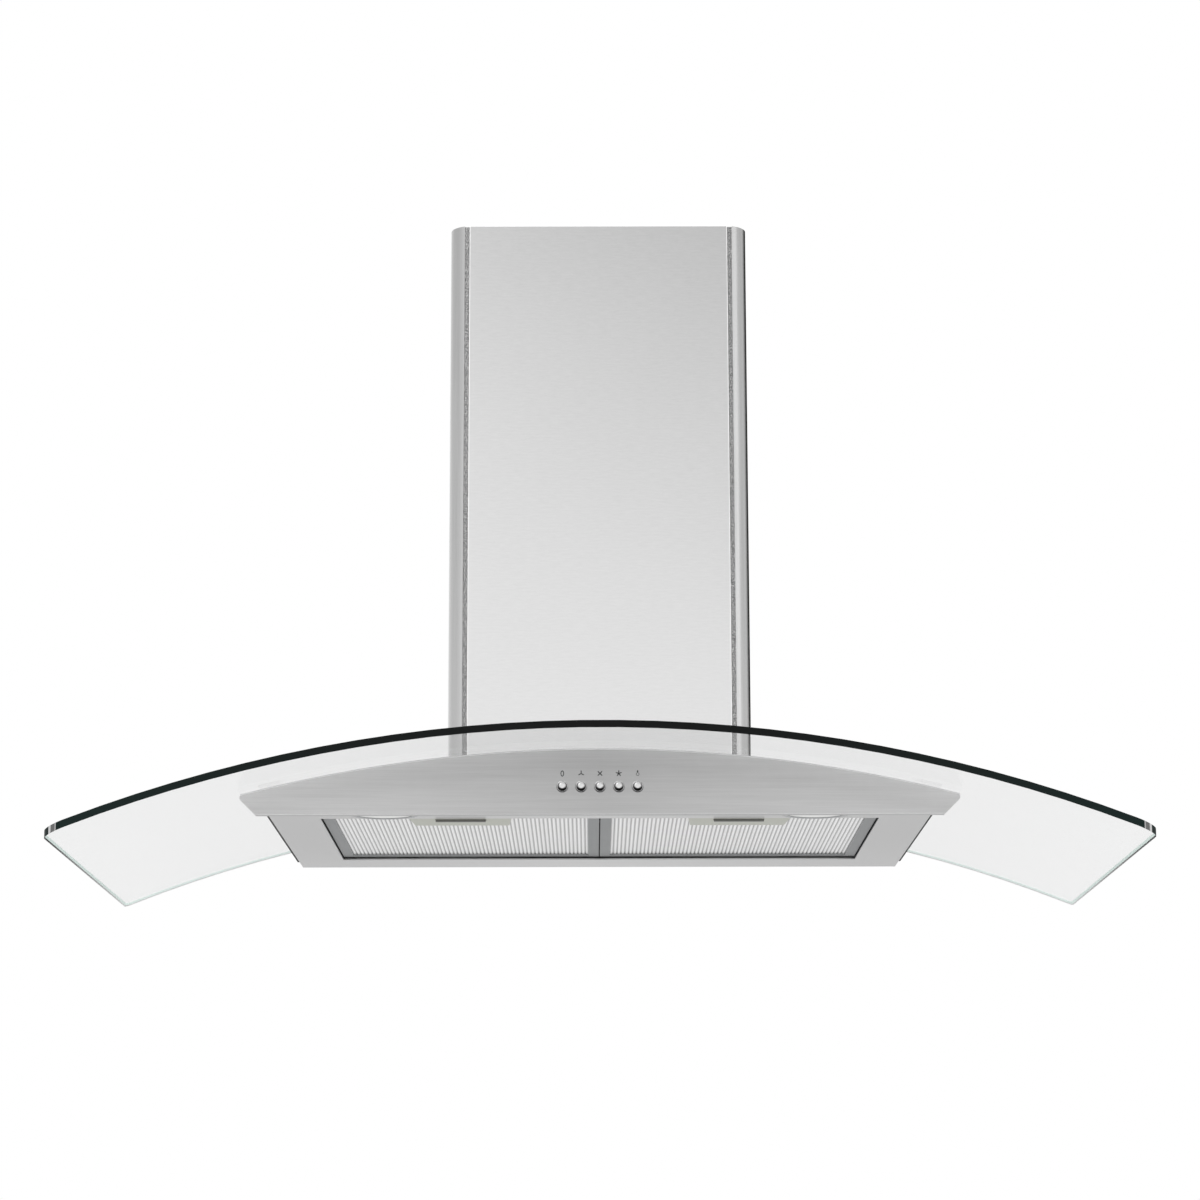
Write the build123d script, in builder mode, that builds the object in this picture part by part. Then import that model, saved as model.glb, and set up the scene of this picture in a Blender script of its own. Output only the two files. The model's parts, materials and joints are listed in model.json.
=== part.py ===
"""Curved glass range hood, built as an assembly of separate pieces.

Frame: +X to the right as seen from the room, +Y into the wall, +Z up, millimetres.
The origin is on the wall plane, on the centre line, level with the underside panel's lower face.
"""

import os
from math import sqrt

from build123d import *

os.makedirs("parts", exist_ok=True)

# --- sheet and clearances shared by several pieces ---
SHEET = 1.2  # body, underside and blower box steel
TRIM_SHEET = 1.0  # front panel and chimney steel
RUN_GAP = 0.3  # between pieces that slide or turn past each other
HOLE_GAP = 0.2  # radial, round fasteners that pass through

# --- glass canopy ---
GLASS_WIDTH = 900.0
GLASS_DEPTH = 498.0
GLASS_WALL_GAP = 2.0
GLASS_THICKNESS = 6.0
GLASS_RADIUS = 1196.0  # of the lower face
GLASS_CROWN_Z = 50.0  # lower face on the centre line
GLASS_FRONT_CORNER = 18.0
GLASS_BACK_CORNER = 6.0
GLASS_HOLE_RADIUS = 4.5
GLASS_BLANK_MARGIN = 10.0  # of the bent sheet before it is cut to size

# --- body under the glass ---
BODY_HALF_WIDTH = 282.0
BODY_DEPTH = 395.0
BODY_TOP_GAP = 6.0  # from the glass down to the body's top sheet, filled by gaskets
BODY_FLANGE = 14.0
BODY_BLANK_HEIGHT = 80.0  # taller than the arch, so the arch trims it
INTAKE_HALF_WIDTH = 100.0
INTAKE_FRONT_Y = -213.0
INTAKE_REAR_Y = -12.0

# --- front panel ---
PANEL_DEPTH = 10.0
PANEL_TOP_HALF_WIDTH = 302.0
PANEL_BOTTOM_HALF_WIDTH = 289.0
PANEL_BOTTOM_Z = -6.0
PANEL_END_Z = 7.0  # where the sloping ends reach their full width
PANEL_TOP_GAP = 1.2  # from the glass down to the panel's top
PANEL_STUD_X = 200.0
PANEL_STUD_Z = 14.0
PANEL_STUD_RADIUS = 2.0
PANEL_STUD_LENGTH = 8.0
PANEL_NUT_RADIUS = 4.0
PANEL_NUT_THICKNESS = 3.2

# --- seals and gaskets ---
SEAL_SKIRT = 5.0
SEAL_SKIRT_Z = 5.0
SEAL_TONGUE = 12.0
SEAL_END_GAP = 2.0
STRIP_HALF_WIDTH = 262.0
STRIP_WIDTH = 10.0
STRIP_INSET = 6.0
BEAD_INSET = 0.6  # of the clear strip on the front panel's top, from the panel's front and ends

# --- filters and their opening ---
OPENING_HALF_WIDTH = 239.5
OPENING_FRONT_Y = -328.0
OPENING_REAR_Y = -54.6
FILTER_CENTRE_GAP = 0.5  # each side of the centre line
FILTER_SIDE_GAP = 0.8
FILTER_FRONT_GAP = 1.2
FILTER_REAR_GAP = 2.4
FILTER_BASE_Z = 2.5  # so that the latch slides over the edge of the underside panel
FILTER_HEIGHT = 9.0
FILTER_BAND = 9.6
FILTER_WALL = 1.2
FILTER_SLOT_GAP = 0.2
TAB_WIDTH = 20.0
TAB_THICKNESS = 1.5
TAB_REACH = 10.0
TAB_Z = 3.0
TAB_SPREAD = 120.0
MESH_PITCH = 8.0
MESH_THICKNESS = 0.8

# --- filter latches ---
LATCH_PLATE_FRONT = 88.0
LATCH_PLATE_REAR = 82.0
LATCH_PLATE_DEPTH = 44.0
LATCH_PLATE_THICKNESS = 2.2
LATCH_FLOOR = 0.7
LATCH_HALF_WIDTH = 24.0
LATCH_THICKNESS = 0.9
LATCH_DEPTH = 24.0
LATCH_TRAVEL = 6.0
LATCH_NOSE_GAP = 0.4
LATCH_RIDGE_HALF_WIDTH = 21.5
LATCH_RIDGE_DEPTH = 4.0
LATCH_RIDGE_INSET = 6.0
LATCH_RIDGE_DROP = 2.0

# --- lamps ---
LAMP_X = 183.0
LAMP_Y = -361.0
LAMP_RIM_RADIUS = 30.5
LAMP_RIM_DROP = 1.2
LAMP_RIM_ROUND = 0.8
LAMP_WINDOW_RADIUS = 25.5
LAMP_BARREL_RADIUS = 28.2
LAMP_BARREL_WALL = 1.6
LAMP_BARREL_HEIGHT = 10.0
LENS_GAP = 0.1
LENS_DROP = 0.6
LENS_SHOULDER = 1.5
LAMP_BOARD_Z = 6.0
LAMP_BOARD_THICKNESS = 1.6
LAMP_CAP_THICKNESS = 1.5
LED_SIZE = 3.0
LED_HEIGHT = 0.9
LED_RING_RADIUS = 15.0
LED_COUNT = 8
LAMP_SPRING_WIDTH = 8.0
LAMP_SPRING_THICKNESS = 0.5
LAMP_SPRING_REACH = 7.0

# --- push buttons ---
BUTTON_COUNT = 5
BUTTON_PITCH = 15.8
BUTTON_Z = 17.2
BUTTON_RADIUS = 3.8
BUTTON_PROUD = 4.0  # cap's cylindrical part in front of the panel
BUTTON_DOME = 1.0
BUTTON_ROUND = 2.0
BUTTON_TRAVEL = 2.5
STEM_RADIUS = 2.2
STEM_LENGTH = 10.0
BEZEL_RADIUS = 4.9
BEZEL_PROUD = 1.6
BEZEL_ROUND = 0.7
BEZEL_BARREL_RADIUS = 4.6
SWITCH_HALF_WIDTH = 46.0
SWITCH_LOW_Z = 8.0
SWITCH_HEIGHT = 20.0
SWITCH_DEPTH = 16.0
SWITCH_EAR = 11.0
SWITCH_EAR_THICKNESS = 3.0
SWITCH_WINDOW_HALF_WIDTH = 38.0
SWITCH_WINDOW_LOW_Z = 12.2
SWITCH_WINDOW_HEIGHT = 12.0
SWITCH_RECESS_DEPTH = 3.0
SWITCH_SCREW_RADIUS = 1.5
SWITCH_SCREW_HEAD_RADIUS = 2.8
SWITCH_SCREW_HEAD = 2.0

# --- blower box on top of the glass ---
BOX_HALF_WIDTH = 112.0
BOX_DEPTH = 225.0
BOX_BASE_Z = 58.0
BOX_TOP_Z = 330.0
BOX_FLANGE_SIDE = 15.0
BOX_FLANGE_FRONT = 14.0
FLANGE_WALL_GAP = 3.0
CLAMP_SIDE_X = 119.5
CLAMP_SIDE_YS = (-60.0, -180.0)
CLAMP_FRONT_X = 60.0
CLAMP_FRONT_Y = -232.0
CLAMP_RADIUS = 2.5
CLAMP_HEAD_RADIUS = 4.6
CLAMP_HEAD_HEIGHT = 3.0
CLAMP_NUT_RADIUS = 4.6
CLAMP_NUT_HEIGHT = 4.0
CLAMP_SEAT_GAP = 0.6  # the nut's flat face under the arched sheet
CLAMP_TIP = 2.0
WALL_HOLE_RADIUS = 3.25
WALL_HOLE_SPACING_X = 160.0
WALL_HOLE_SPACING_Z = 190.0
WALL_HOLE_CENTRE_Z = 195.0

# --- blower ---
SCROLL_Y = -108.0
SCROLL_Z = 176.0
SCROLL_RADIUS = 90.0
SCROLL_HALF_WIDTH = 50.0
SCROLL_WALL = 2.0
SCROLL_MOUTH_LEDGE = 0.5  # left inside the wall at the front and rear of the outlet
SCROLL_OUTLET_FRONT_Y = -195.0
SCROLL_OUTLET_REAR_Y = -55.0
SCROLL_TONGUE_Y = -62.0
SCROLL_TONGUE_Z = 250.0
SCROLL_INLET_RADIUS = 62.0
SCROLL_FLANGE = 8.0
SCROLL_SCREW_X = 54.0
SCROLL_SCREW_YS = (-185.0, -65.0)
SCROLL_SCREW_RADIUS = 1.8
SCROLL_SCREW_HEAD_RADIUS = 3.2
SCROLL_SCREW_HEAD = 2.5
IMPELLER_RADIUS = 76.0
IMPELLER_RING = 9.0
IMPELLER_HALF_WIDTH = 44.0
IMPELLER_RIM = 1.6
BLADE_COUNT = 32
BLADE_THICKNESS = 1.4
BLADE_ANGLE = 28.0
HUB_RADIUS = 12.0
HUB_LENGTH = 16.0
SHAFT_RADIUS = 4.0
SHAFT_GAP = 0.05
SHAFT_START_X = -46.0
MOTOR_RADIUS = 34.0
MOTOR_ROUND = 4.0
MOTOR_END_X = -6.0
MOTOR_NOSE_RADIUS = 13.0
MOTOR_NOSE_LENGTH = 3.0
BRACKET_THICKNESS = 2.0
BRACKET_BORE = 12.0
BRACKET_RING = 36.0
BRACKET_REACH = 80.0
BRACKET_ARM = 14.0
BRACKET_ARM_COUNT = 3
BRACKET_FIRST_ANGLE = 90.0  # degrees
BRACKET_SCREW_CIRCLE = 71.0
BRACKET_SCREW_RADIUS = 1.5
BRACKET_SCREW_HEAD_RADIUS = 3.4
BRACKET_SCREW_HEAD = 2.0
CAPACITOR_X = 92.0
CAPACITOR_Y = -185.0
CAPACITOR_Z = 80.0
CAPACITOR_RADIUS = 14.0
CAPACITOR_LENGTH = 62.0
CAPACITOR_ROUND = 1.5
STRAP_HEIGHT = 9.0
STRAP_THICKNESS = 2.0

# --- mains terminal box ---
TERMINAL_X = 86.0
TERMINAL_Y = -206.0
TERMINAL_WIDTH = 44.0
TERMINAL_DEPTH = 32.0
TERMINAL_HEIGHT = 26.0
TERMINAL_WALL = 2.0
TERMINAL_CORNER = 3.0
TERMINAL_LID = 2.4
WIRE_HOLE_RADIUS = 6.0
GLAND_THREAD_RADIUS = 6.8
GLAND_THREAD_LENGTH = 9.0
GLAND_HEX_RADIUS = 10.0
GLAND_HEX_HEIGHT = 4.0
GLAND_CAP_RADIUS = 8.6
GLAND_CAP_HEIGHT = 10.0
GLAND_CAP_SLOPE = 8.0  # degrees
GLAND_BORE_RADIUS = 4.0

# --- outlet collar and damper ---
COLLAR_Y = -125.0
COLLAR_RADIUS = 74.6
COLLAR_WALL = 2.0
COLLAR_HEIGHT = 60.0
COLLAR_FLANGE_RADIUS = 86.0
COLLAR_FLANGE_THICKNESS = 2.5
DAMPER_Z = 352.0
DAMPER_ROD_RADIUS = 1.5
DAMPER_ROD_GAP = 0.08
DAMPER_THICKNESS = 1.2
DAMPER_RIM_GAP = 0.8
DAMPER_ROOT = 3.6
KNUCKLE_RADIUS = 3.0
KNUCKLE_WIDTH = 24.0
KNUCKLE_PITCH = 27.0
STOP_WIDTH = 2.0
STOP_THICKNESS = 2.6
STOP_GAP = 0.4

# --- chimney ---
CHIMNEY_HALF_WIDTH = 135.0
CHIMNEY_DEPTH = 250.0
CHIMNEY_TOP_Z = 557.0
CHIMNEY_CORNER = 20.0
CHIMNEY_GLASS_GAP = 2.0
CHIMNEY_BLANK_Z = 44.0
FACE_HALF_WIDTH = 117.5
FACE_RETURN = 3.5
GROOVE_OUTER_X = 122.0
GROOVE_TONGUE_X = 104.0
REAR_FLANGE_X = 118.0
COVER_HOLE_RADIUS = 2.25
COVER_HOLE_X = 126.5
COVER_HOLE_ZS = (120.0, 500.0)
COVER_TAB_X = 119.0
COVER_TAB_Y = -120.0
COVER_TAB_WIDTH = 40.0
COVER_SCREW_X = 123.5
COVER_SCREW_RADIUS = 1.8
COVER_SCREW_HEAD_RADIUS = 3.2
COVER_SCREW_HEAD = 2.0
GLIDE_HEIGHT = 20.0
GLIDE_WIDTH = 30.0
GLIDE_ZS = (455.0, 525.0)
GLIDE_FRONT_X = 111.0
GLIDE_FRONT_WIDTH = 10.0
UPPER_HALF_WIDTH = 132.4
UPPER_FRONT_Y = -243.5
UPPER_REAR_Y = -8.0
UPPER_CORNER = 12.0
UPPER_BASE_Z = 66.0
UPPER_TOP_Z = 547.0
VENT_COUNT = 6
VENT_PITCH = 9.0
VENT_HEIGHT = 4.0
VENT_LENGTH = 110.0
VENT_TOP_Z = 535.0
VENT_Y = -125.0
STRAP_LOW_Z = 490.0
UPPER_STRAP_HEIGHT = 26.0
UPPER_STRAP_THICKNESS = 1.6
UPPER_STRAP_STANDOFF = 2.4
UPPER_TAB_DEPTH = 34.0
PAD_X = 90.0
PAD_RADIUS = 9.0
PAD_HOLE_RADIUS = 2.75

# --- places that follow from the sizes above ---
ARCH_CENTRE = (0, GLASS_CROWN_Z - GLASS_RADIUS)
BODY_TOP_RADIUS = GLASS_RADIUS - BODY_TOP_GAP
PANEL_TOP_RADIUS = GLASS_RADIUS - PANEL_TOP_GAP
GLASS_TOP_RADIUS = GLASS_RADIUS + GLASS_THICKNESS
BODY_FRONT_Y = -BODY_DEPTH
PANEL_FRONT_Y = BODY_FRONT_Y - TRIM_SHEET
SHELL_FRONT_INNER_Y = BODY_FRONT_Y + SHEET
CLAMP_POINTS = [(s * CLAMP_SIDE_X, y) for s in (-1, 1) for y in CLAMP_SIDE_YS]
CLAMP_POINTS += [(s * CLAMP_FRONT_X, CLAMP_FRONT_Y) for s in (-1, 1)]
BUTTON_XS = [(i - (BUTTON_COUNT - 1) / 2) * BUTTON_PITCH for i in range(BUTTON_COUNT)]
FILTER_INNER_X = FILTER_CENTRE_GAP
FILTER_OUTER_X = OPENING_HALF_WIDTH - FILTER_SIDE_GAP
FILTER_MID_X = (FILTER_INNER_X + FILTER_OUTER_X) / 2
FILTER_WIDTH = FILTER_OUTER_X - FILTER_INNER_X
FILTER_FRONT_Y = OPENING_FRONT_Y + FILTER_FRONT_GAP
FILTER_REAR_Y = OPENING_REAR_Y - FILTER_REAR_GAP
FILTER_DEPTH = FILTER_REAR_Y - FILTER_FRONT_Y
FILTER_MID_Y = (FILTER_FRONT_Y + FILTER_REAR_Y) / 2
LATCH_FRONT_Y = OPENING_FRONT_Y + LATCH_NOSE_GAP


def facing(y):
    """Plane square to Y at the given y: local x is +X, local y is +Z, and it extrudes to the room."""
    return Plane(origin=(0, y, 0), x_dir=(1, 0, 0), z_dir=(0, -1, 0))


def across(x):
    """Plane square to X at the given x: local x is +Y, local y is +Z, and it extrudes to +X."""
    return Plane(origin=(x, 0, 0), x_dir=(0, 1, 0), z_dir=(1, 0, 0))


def level(z):
    """Plane square to Z at the given z."""
    return Plane.XY.offset(z)


def arch_z(x, radius):
    """Height at x of the arch of that radius, which shares its axis with the glass."""
    return ARCH_CENTRE[1] + sqrt(radius**2 - x**2)


def arch_band(low_radius, high_radius, x0, x1):
    """Draws the band between two arches from x0 to x1 in the current sketch."""
    with Locations(ARCH_CENTRE):
        Circle(high_radius)
        Circle(low_radius, mode=Mode.SUBTRACT)
    with Locations(((x0 + x1) / 2, GLASS_CROWN_Z)):
        Rectangle(x1 - x0, 2 * GLASS_CROWN_Z + BODY_BLANK_HEIGHT, mode=Mode.INTERSECT)


def trim_to_glass(gap):
    """Cuts from the current part all that is lower than the glass's top face plus a gap."""
    place = Location((0, 0, ARCH_CENTRE[1]), (90, 0, 0))
    with Locations(place):
        Cylinder(GLASS_TOP_RADIUS + gap, 2 * GLASS_DEPTH, mode=Mode.SUBTRACT)


def save(part, name):
    part.label = name
    export_step(part, f"parts/{name}.step")


# ---------------------------------------------------------------- glass
# A bent sheet larger than the canopy, cut to its outline in plan.
with BuildPart() as glass_canopy:
    with BuildSketch(facing(GLASS_BLANK_MARGIN)):
        half_width = GLASS_WIDTH / 2 + GLASS_BLANK_MARGIN
        arch_band(GLASS_RADIUS, GLASS_TOP_RADIUS, -half_width, half_width)
    extrude(amount=GLASS_DEPTH + 2 * GLASS_BLANK_MARGIN)
    with BuildSketch(level(arch_z(half_width, GLASS_RADIUS))) as plan:
        with Locations((0, -GLASS_WALL_GAP)):
            Rectangle(GLASS_WIDTH, GLASS_DEPTH, align=(Align.CENTER, Align.MAX))
        fillet(plan.vertices().sort_by(Axis.Y)[:2], radius=GLASS_FRONT_CORNER)
        fillet(plan.vertices().sort_by(Axis.Y)[-2:], radius=GLASS_BACK_CORNER)
    extrude(amount=2 * BODY_BLANK_HEIGHT, mode=Mode.INTERSECT)
    with BuildSketch(level(0)):
        with Locations((0, (INTAKE_FRONT_Y + INTAKE_REAR_Y) / 2)):
            RectangleRounded(
                2 * INTAKE_HALF_WIDTH, INTAKE_REAR_Y - INTAKE_FRONT_Y, GLASS_BACK_CORNER
            )
        with Locations(*CLAMP_POINTS):
            Circle(GLASS_HOLE_RADIUS)
    extrude(amount=BODY_BLANK_HEIGHT, mode=Mode.SUBTRACT)
save(glass_canopy.part, "glass_canopy")

# ---------------------------------------------------------------- body under the glass
with BuildPart() as body_shell:
    with BuildSketch(facing(0)):
        with Locations(ARCH_CENTRE):
            Circle(BODY_TOP_RADIUS)
        with Locations((0, SHEET)):
            Rectangle(
                2 * BODY_HALF_WIDTH,
                BODY_BLANK_HEIGHT,
                align=(Align.CENTER, Align.MIN),
                mode=Mode.INTERSECT,
            )
    extrude(amount=BODY_DEPTH)
    with BuildSketch(facing(-SHEET)):
        with Locations(ARCH_CENTRE):
            Circle(BODY_TOP_RADIUS - SHEET)
        with Locations((0, 2 * SHEET)):
            Rectangle(
                2 * (BODY_HALF_WIDTH - SHEET),
                BODY_BLANK_HEIGHT,
                align=(Align.CENTER, Align.MIN),
                mode=Mode.INTERSECT,
            )
    extrude(amount=BODY_DEPTH - 2 * SHEET, mode=Mode.SUBTRACT)
    # The rear wall comes down past the underside panel's edge, to the origin.
    with BuildSketch(facing(0)):
        Rectangle(2 * BODY_HALF_WIDTH, SHEET, align=(Align.CENTER, Align.MIN))
    extrude(amount=SHEET)
    # The bottom is open inside a flange along the sides and the back.
    with BuildSketch(level(SHEET)):
        with Locations((0, (SHELL_FRONT_INNER_Y - BODY_FLANGE) / 2)):
            Rectangle(2 * (BODY_HALF_WIDTH - BODY_FLANGE), -SHELL_FRONT_INNER_Y - BODY_FLANGE)
    extrude(amount=SHEET, mode=Mode.SUBTRACT)
    with BuildSketch(level(SHEET)):
        with Locations((0, (INTAKE_FRONT_Y + INTAKE_REAR_Y) / 2)):
            Rectangle(2 * INTAKE_HALF_WIDTH, INTAKE_REAR_Y - INTAKE_FRONT_Y)
        with Locations(*CLAMP_POINTS):
            Circle(CLAMP_RADIUS + HOLE_GAP)
    extrude(amount=BODY_BLANK_HEIGHT, mode=Mode.SUBTRACT)
    with BuildSketch(facing(SHELL_FRONT_INNER_Y)):
        with Locations((0, SWITCH_WINDOW_LOW_Z)):
            Rectangle(
                2 * SWITCH_WINDOW_HALF_WIDTH,
                SWITCH_WINDOW_HEIGHT,
                align=(Align.CENTER, Align.MIN),
            )
        with Locations((-PANEL_STUD_X, PANEL_STUD_Z), (PANEL_STUD_X, PANEL_STUD_Z)):
            Circle(PANEL_STUD_RADIUS + HOLE_GAP)
        for x in (-1, 1):
            with Locations(
                (x * (SWITCH_HALF_WIDTH + SWITCH_EAR / 2), SWITCH_LOW_Z + SWITCH_HEIGHT / 2)
            ):
                Circle(SWITCH_SCREW_RADIUS)
    extrude(amount=SHEET, mode=Mode.SUBTRACT)
save(body_shell.part, "body_shell")

with BuildPart() as underside_panel:
    with BuildSketch(level(0)):
        with Locations((0, -SHEET)):
            Rectangle(
                2 * BODY_HALF_WIDTH, BODY_DEPTH - SHEET, align=(Align.CENTER, Align.MAX)
            )
        with Locations((0, (OPENING_FRONT_Y + OPENING_REAR_Y) / 2)):
            Rectangle(
                2 * OPENING_HALF_WIDTH, OPENING_REAR_Y - OPENING_FRONT_Y, mode=Mode.SUBTRACT
            )
        with Locations((-LAMP_X, LAMP_Y), (LAMP_X, LAMP_Y)):
            Circle(LAMP_BARREL_RADIUS + HOLE_GAP, mode=Mode.SUBTRACT)
    extrude(amount=SHEET)
save(underside_panel.part, "underside_panel")


def panel_outline(inset):
    """Draws the front panel's outline in the current sketch, moved in by an inset."""
    top_x = PANEL_TOP_HALF_WIDTH - inset
    low_x = PANEL_BOTTOM_HALF_WIDTH - inset
    low_z = PANEL_BOTTOM_Z + inset
    Polygon(
        (-low_x, low_z),
        (low_x, low_z),
        (top_x, PANEL_END_Z),
        (top_x, BODY_BLANK_HEIGHT),
        (-top_x, BODY_BLANK_HEIGHT),
        (-top_x, PANEL_END_Z),
        align=None,
    )
    with Locations(ARCH_CENTRE):
        Circle(PANEL_TOP_RADIUS - inset, mode=Mode.INTERSECT)


with BuildPart() as front_panel:
    with BuildSketch(facing(PANEL_FRONT_Y + PANEL_DEPTH)):
        panel_outline(0)
    extrude(amount=PANEL_DEPTH)
    with BuildSketch(facing(PANEL_FRONT_Y + PANEL_DEPTH)):
        panel_outline(TRIM_SHEET)
    extrude(amount=PANEL_DEPTH - TRIM_SHEET, mode=Mode.SUBTRACT)
    with BuildSketch(facing(BODY_FRONT_Y)):
        for x in BUTTON_XS:
            with Locations((x, BUTTON_Z)):
                Circle(BEZEL_BARREL_RADIUS)
    extrude(amount=TRIM_SHEET, mode=Mode.SUBTRACT)
    with BuildSketch(facing(BODY_FRONT_Y + PANEL_STUD_LENGTH)):
        with Locations((-PANEL_STUD_X, PANEL_STUD_Z), (PANEL_STUD_X, PANEL_STUD_Z)):
            Circle(PANEL_STUD_RADIUS)
    extrude(amount=PANEL_STUD_LENGTH)
save(front_panel.part, "front_panel")

with BuildPart() as panel_nuts:
    with BuildSketch(facing(SHELL_FRONT_INNER_Y + PANEL_NUT_THICKNESS)):
        with Locations((-PANEL_STUD_X, PANEL_STUD_Z), (PANEL_STUD_X, PANEL_STUD_Z)):
            RegularPolygon(PANEL_NUT_RADIUS, 6)
            Circle(PANEL_STUD_RADIUS, mode=Mode.SUBTRACT)
    extrude(amount=PANEL_NUT_THICKNESS)
save(panel_nuts.part, "panel_nuts")

# ---------------------------------------------------------------- seals and gaskets
SEAL_LENGTH = BODY_DEPTH - PANEL_DEPTH - 2 * SEAL_END_GAP
with BuildPart() as side_seal_right:
    with BuildSketch(facing(-SEAL_END_GAP)):
        arch_band(
            BODY_TOP_RADIUS,
            GLASS_RADIUS,
            BODY_HALF_WIDTH - SEAL_TONGUE,
            BODY_HALF_WIDTH + SEAL_SKIRT,
        )
    extrude(amount=SEAL_LENGTH)
    with BuildSketch(facing(-SEAL_END_GAP)):
        with Locations((BODY_HALF_WIDTH, SEAL_SKIRT_Z)):
            Rectangle(
                SEAL_SKIRT,
                arch_z(BODY_HALF_WIDTH, BODY_TOP_RADIUS) - SEAL_SKIRT_Z,
                align=(Align.MIN, Align.MIN),
            )
    extrude(amount=SEAL_LENGTH)
save(side_seal_right.part, "side_seal_right")

with BuildPart() as side_seal_left:
    mirror(side_seal_right.part, about=Plane.YZ)
save(side_seal_left.part, "side_seal_left")

# Clear strips on which the glass rests.
BEAD_HALF_WIDTH = PANEL_TOP_HALF_WIDTH - BEAD_INSET
with BuildPart() as glass_strips:
    for y in (-STRIP_INSET, BODY_FRONT_Y + PANEL_DEPTH + STRIP_WIDTH):
        with BuildSketch(facing(y)):
            arch_band(BODY_TOP_RADIUS, GLASS_RADIUS, -STRIP_HALF_WIDTH, STRIP_HALF_WIDTH)
        extrude(amount=STRIP_WIDTH)
    # The rear strip stops either side of the gasket under the blower box.
    with BuildSketch(level(0)):
        Rectangle(
            2 * (BOX_HALF_WIDTH + BOX_FLANGE_SIDE),
            STRIP_INSET + 2 * STRIP_WIDTH,
            align=(Align.CENTER, Align.MAX),
        )
    extrude(amount=BODY_BLANK_HEIGHT, mode=Mode.SUBTRACT)
    # The foremost strip closes the slit between the front panel's top and the glass.
    with BuildSketch(facing(PANEL_FRONT_Y + PANEL_DEPTH - BEAD_INSET)):
        arch_band(PANEL_TOP_RADIUS, GLASS_RADIUS, -BEAD_HALF_WIDTH, BEAD_HALF_WIDTH)
    extrude(amount=PANEL_DEPTH - 2 * BEAD_INSET)
save(glass_strips.part, "glass_strips")


def flange_ring(y_wall):
    """Draws the blower flange's outline round the intake, with its clamp holes, from y_wall on."""
    front_y = -BOX_DEPTH - BOX_FLANGE_FRONT
    with Locations((0, (front_y + y_wall) / 2)):
        Rectangle(2 * (BOX_HALF_WIDTH + BOX_FLANGE_SIDE), y_wall - front_y)
    with Locations((0, (INTAKE_FRONT_Y + INTAKE_REAR_Y) / 2)):
        Rectangle(
            2 * INTAKE_HALF_WIDTH, INTAKE_REAR_Y - INTAKE_FRONT_Y, mode=Mode.SUBTRACT
        )
    with Locations(*CLAMP_POINTS):
        Circle(CLAMP_RADIUS + HOLE_GAP, mode=Mode.SUBTRACT)


with BuildPart() as plenum_gasket:
    with BuildSketch(facing(-FLANGE_WALL_GAP)):
        arch_band(
            BODY_TOP_RADIUS,
            GLASS_RADIUS,
            -BOX_HALF_WIDTH - BOX_FLANGE_SIDE,
            BOX_HALF_WIDTH + BOX_FLANGE_SIDE,
        )
    extrude(amount=BOX_DEPTH + BOX_FLANGE_FRONT - FLANGE_WALL_GAP)
    with BuildSketch(level(0)):
        flange_ring(-FLANGE_WALL_GAP)
    extrude(amount=BODY_BLANK_HEIGHT, mode=Mode.INTERSECT)
save(plenum_gasket.part, "plenum_gasket")

with BuildPart() as blower_gasket:
    with BuildSketch(level(BOX_BASE_Z)):
        flange_ring(-FLANGE_WALL_GAP)
    extrude(amount=-BOX_BASE_Z)
    trim_to_glass(0)
save(blower_gasket.part, "blower_gasket")

# ---------------------------------------------------------------- blower box and its clamps
with BuildPart() as blower_box:
    with BuildSketch(level(BOX_BASE_Z)):
        with Locations((0, -BOX_DEPTH / 2)):
            Rectangle(2 * BOX_HALF_WIDTH, BOX_DEPTH)
    extrude(amount=BOX_TOP_Z - BOX_BASE_Z)
    with BuildSketch(level(BOX_BASE_Z)):
        flange_ring(-FLANGE_WALL_GAP)
        with Locations((-COVER_SCREW_X, COVER_TAB_Y), (COVER_SCREW_X, COVER_TAB_Y)):
            Circle(COVER_SCREW_RADIUS, mode=Mode.SUBTRACT)
    extrude(amount=SHEET)
    with BuildSketch(level(BOX_BASE_Z)):
        with Locations((0, -BOX_DEPTH / 2)):
            Rectangle(2 * (BOX_HALF_WIDTH - SHEET), BOX_DEPTH - 2 * SHEET)
    extrude(amount=BOX_TOP_Z - BOX_BASE_Z - SHEET, mode=Mode.SUBTRACT)
    with BuildSketch(level(BOX_TOP_Z - SHEET)):
        with Locations((0, COLLAR_Y)):
            Circle(COLLAR_RADIUS - COLLAR_WALL)
        with Locations((TERMINAL_X, TERMINAL_Y)):
            Circle(WIRE_HOLE_RADIUS)
        for x in (-SCROLL_SCREW_X, SCROLL_SCREW_X):
            for y in SCROLL_SCREW_YS:
                with Locations((x, y)):
                    Circle(SCROLL_SCREW_RADIUS)
    extrude(amount=SHEET, mode=Mode.SUBTRACT)
    with BuildSketch(facing(0)):
        with Locations((0, WALL_HOLE_CENTRE_Z)):
            with GridLocations(WALL_HOLE_SPACING_X, WALL_HOLE_SPACING_Z, 2, 2):
                Circle(WALL_HOLE_RADIUS)
    extrude(amount=SHEET, mode=Mode.SUBTRACT)
save(blower_box.part, "blower_box")

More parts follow.
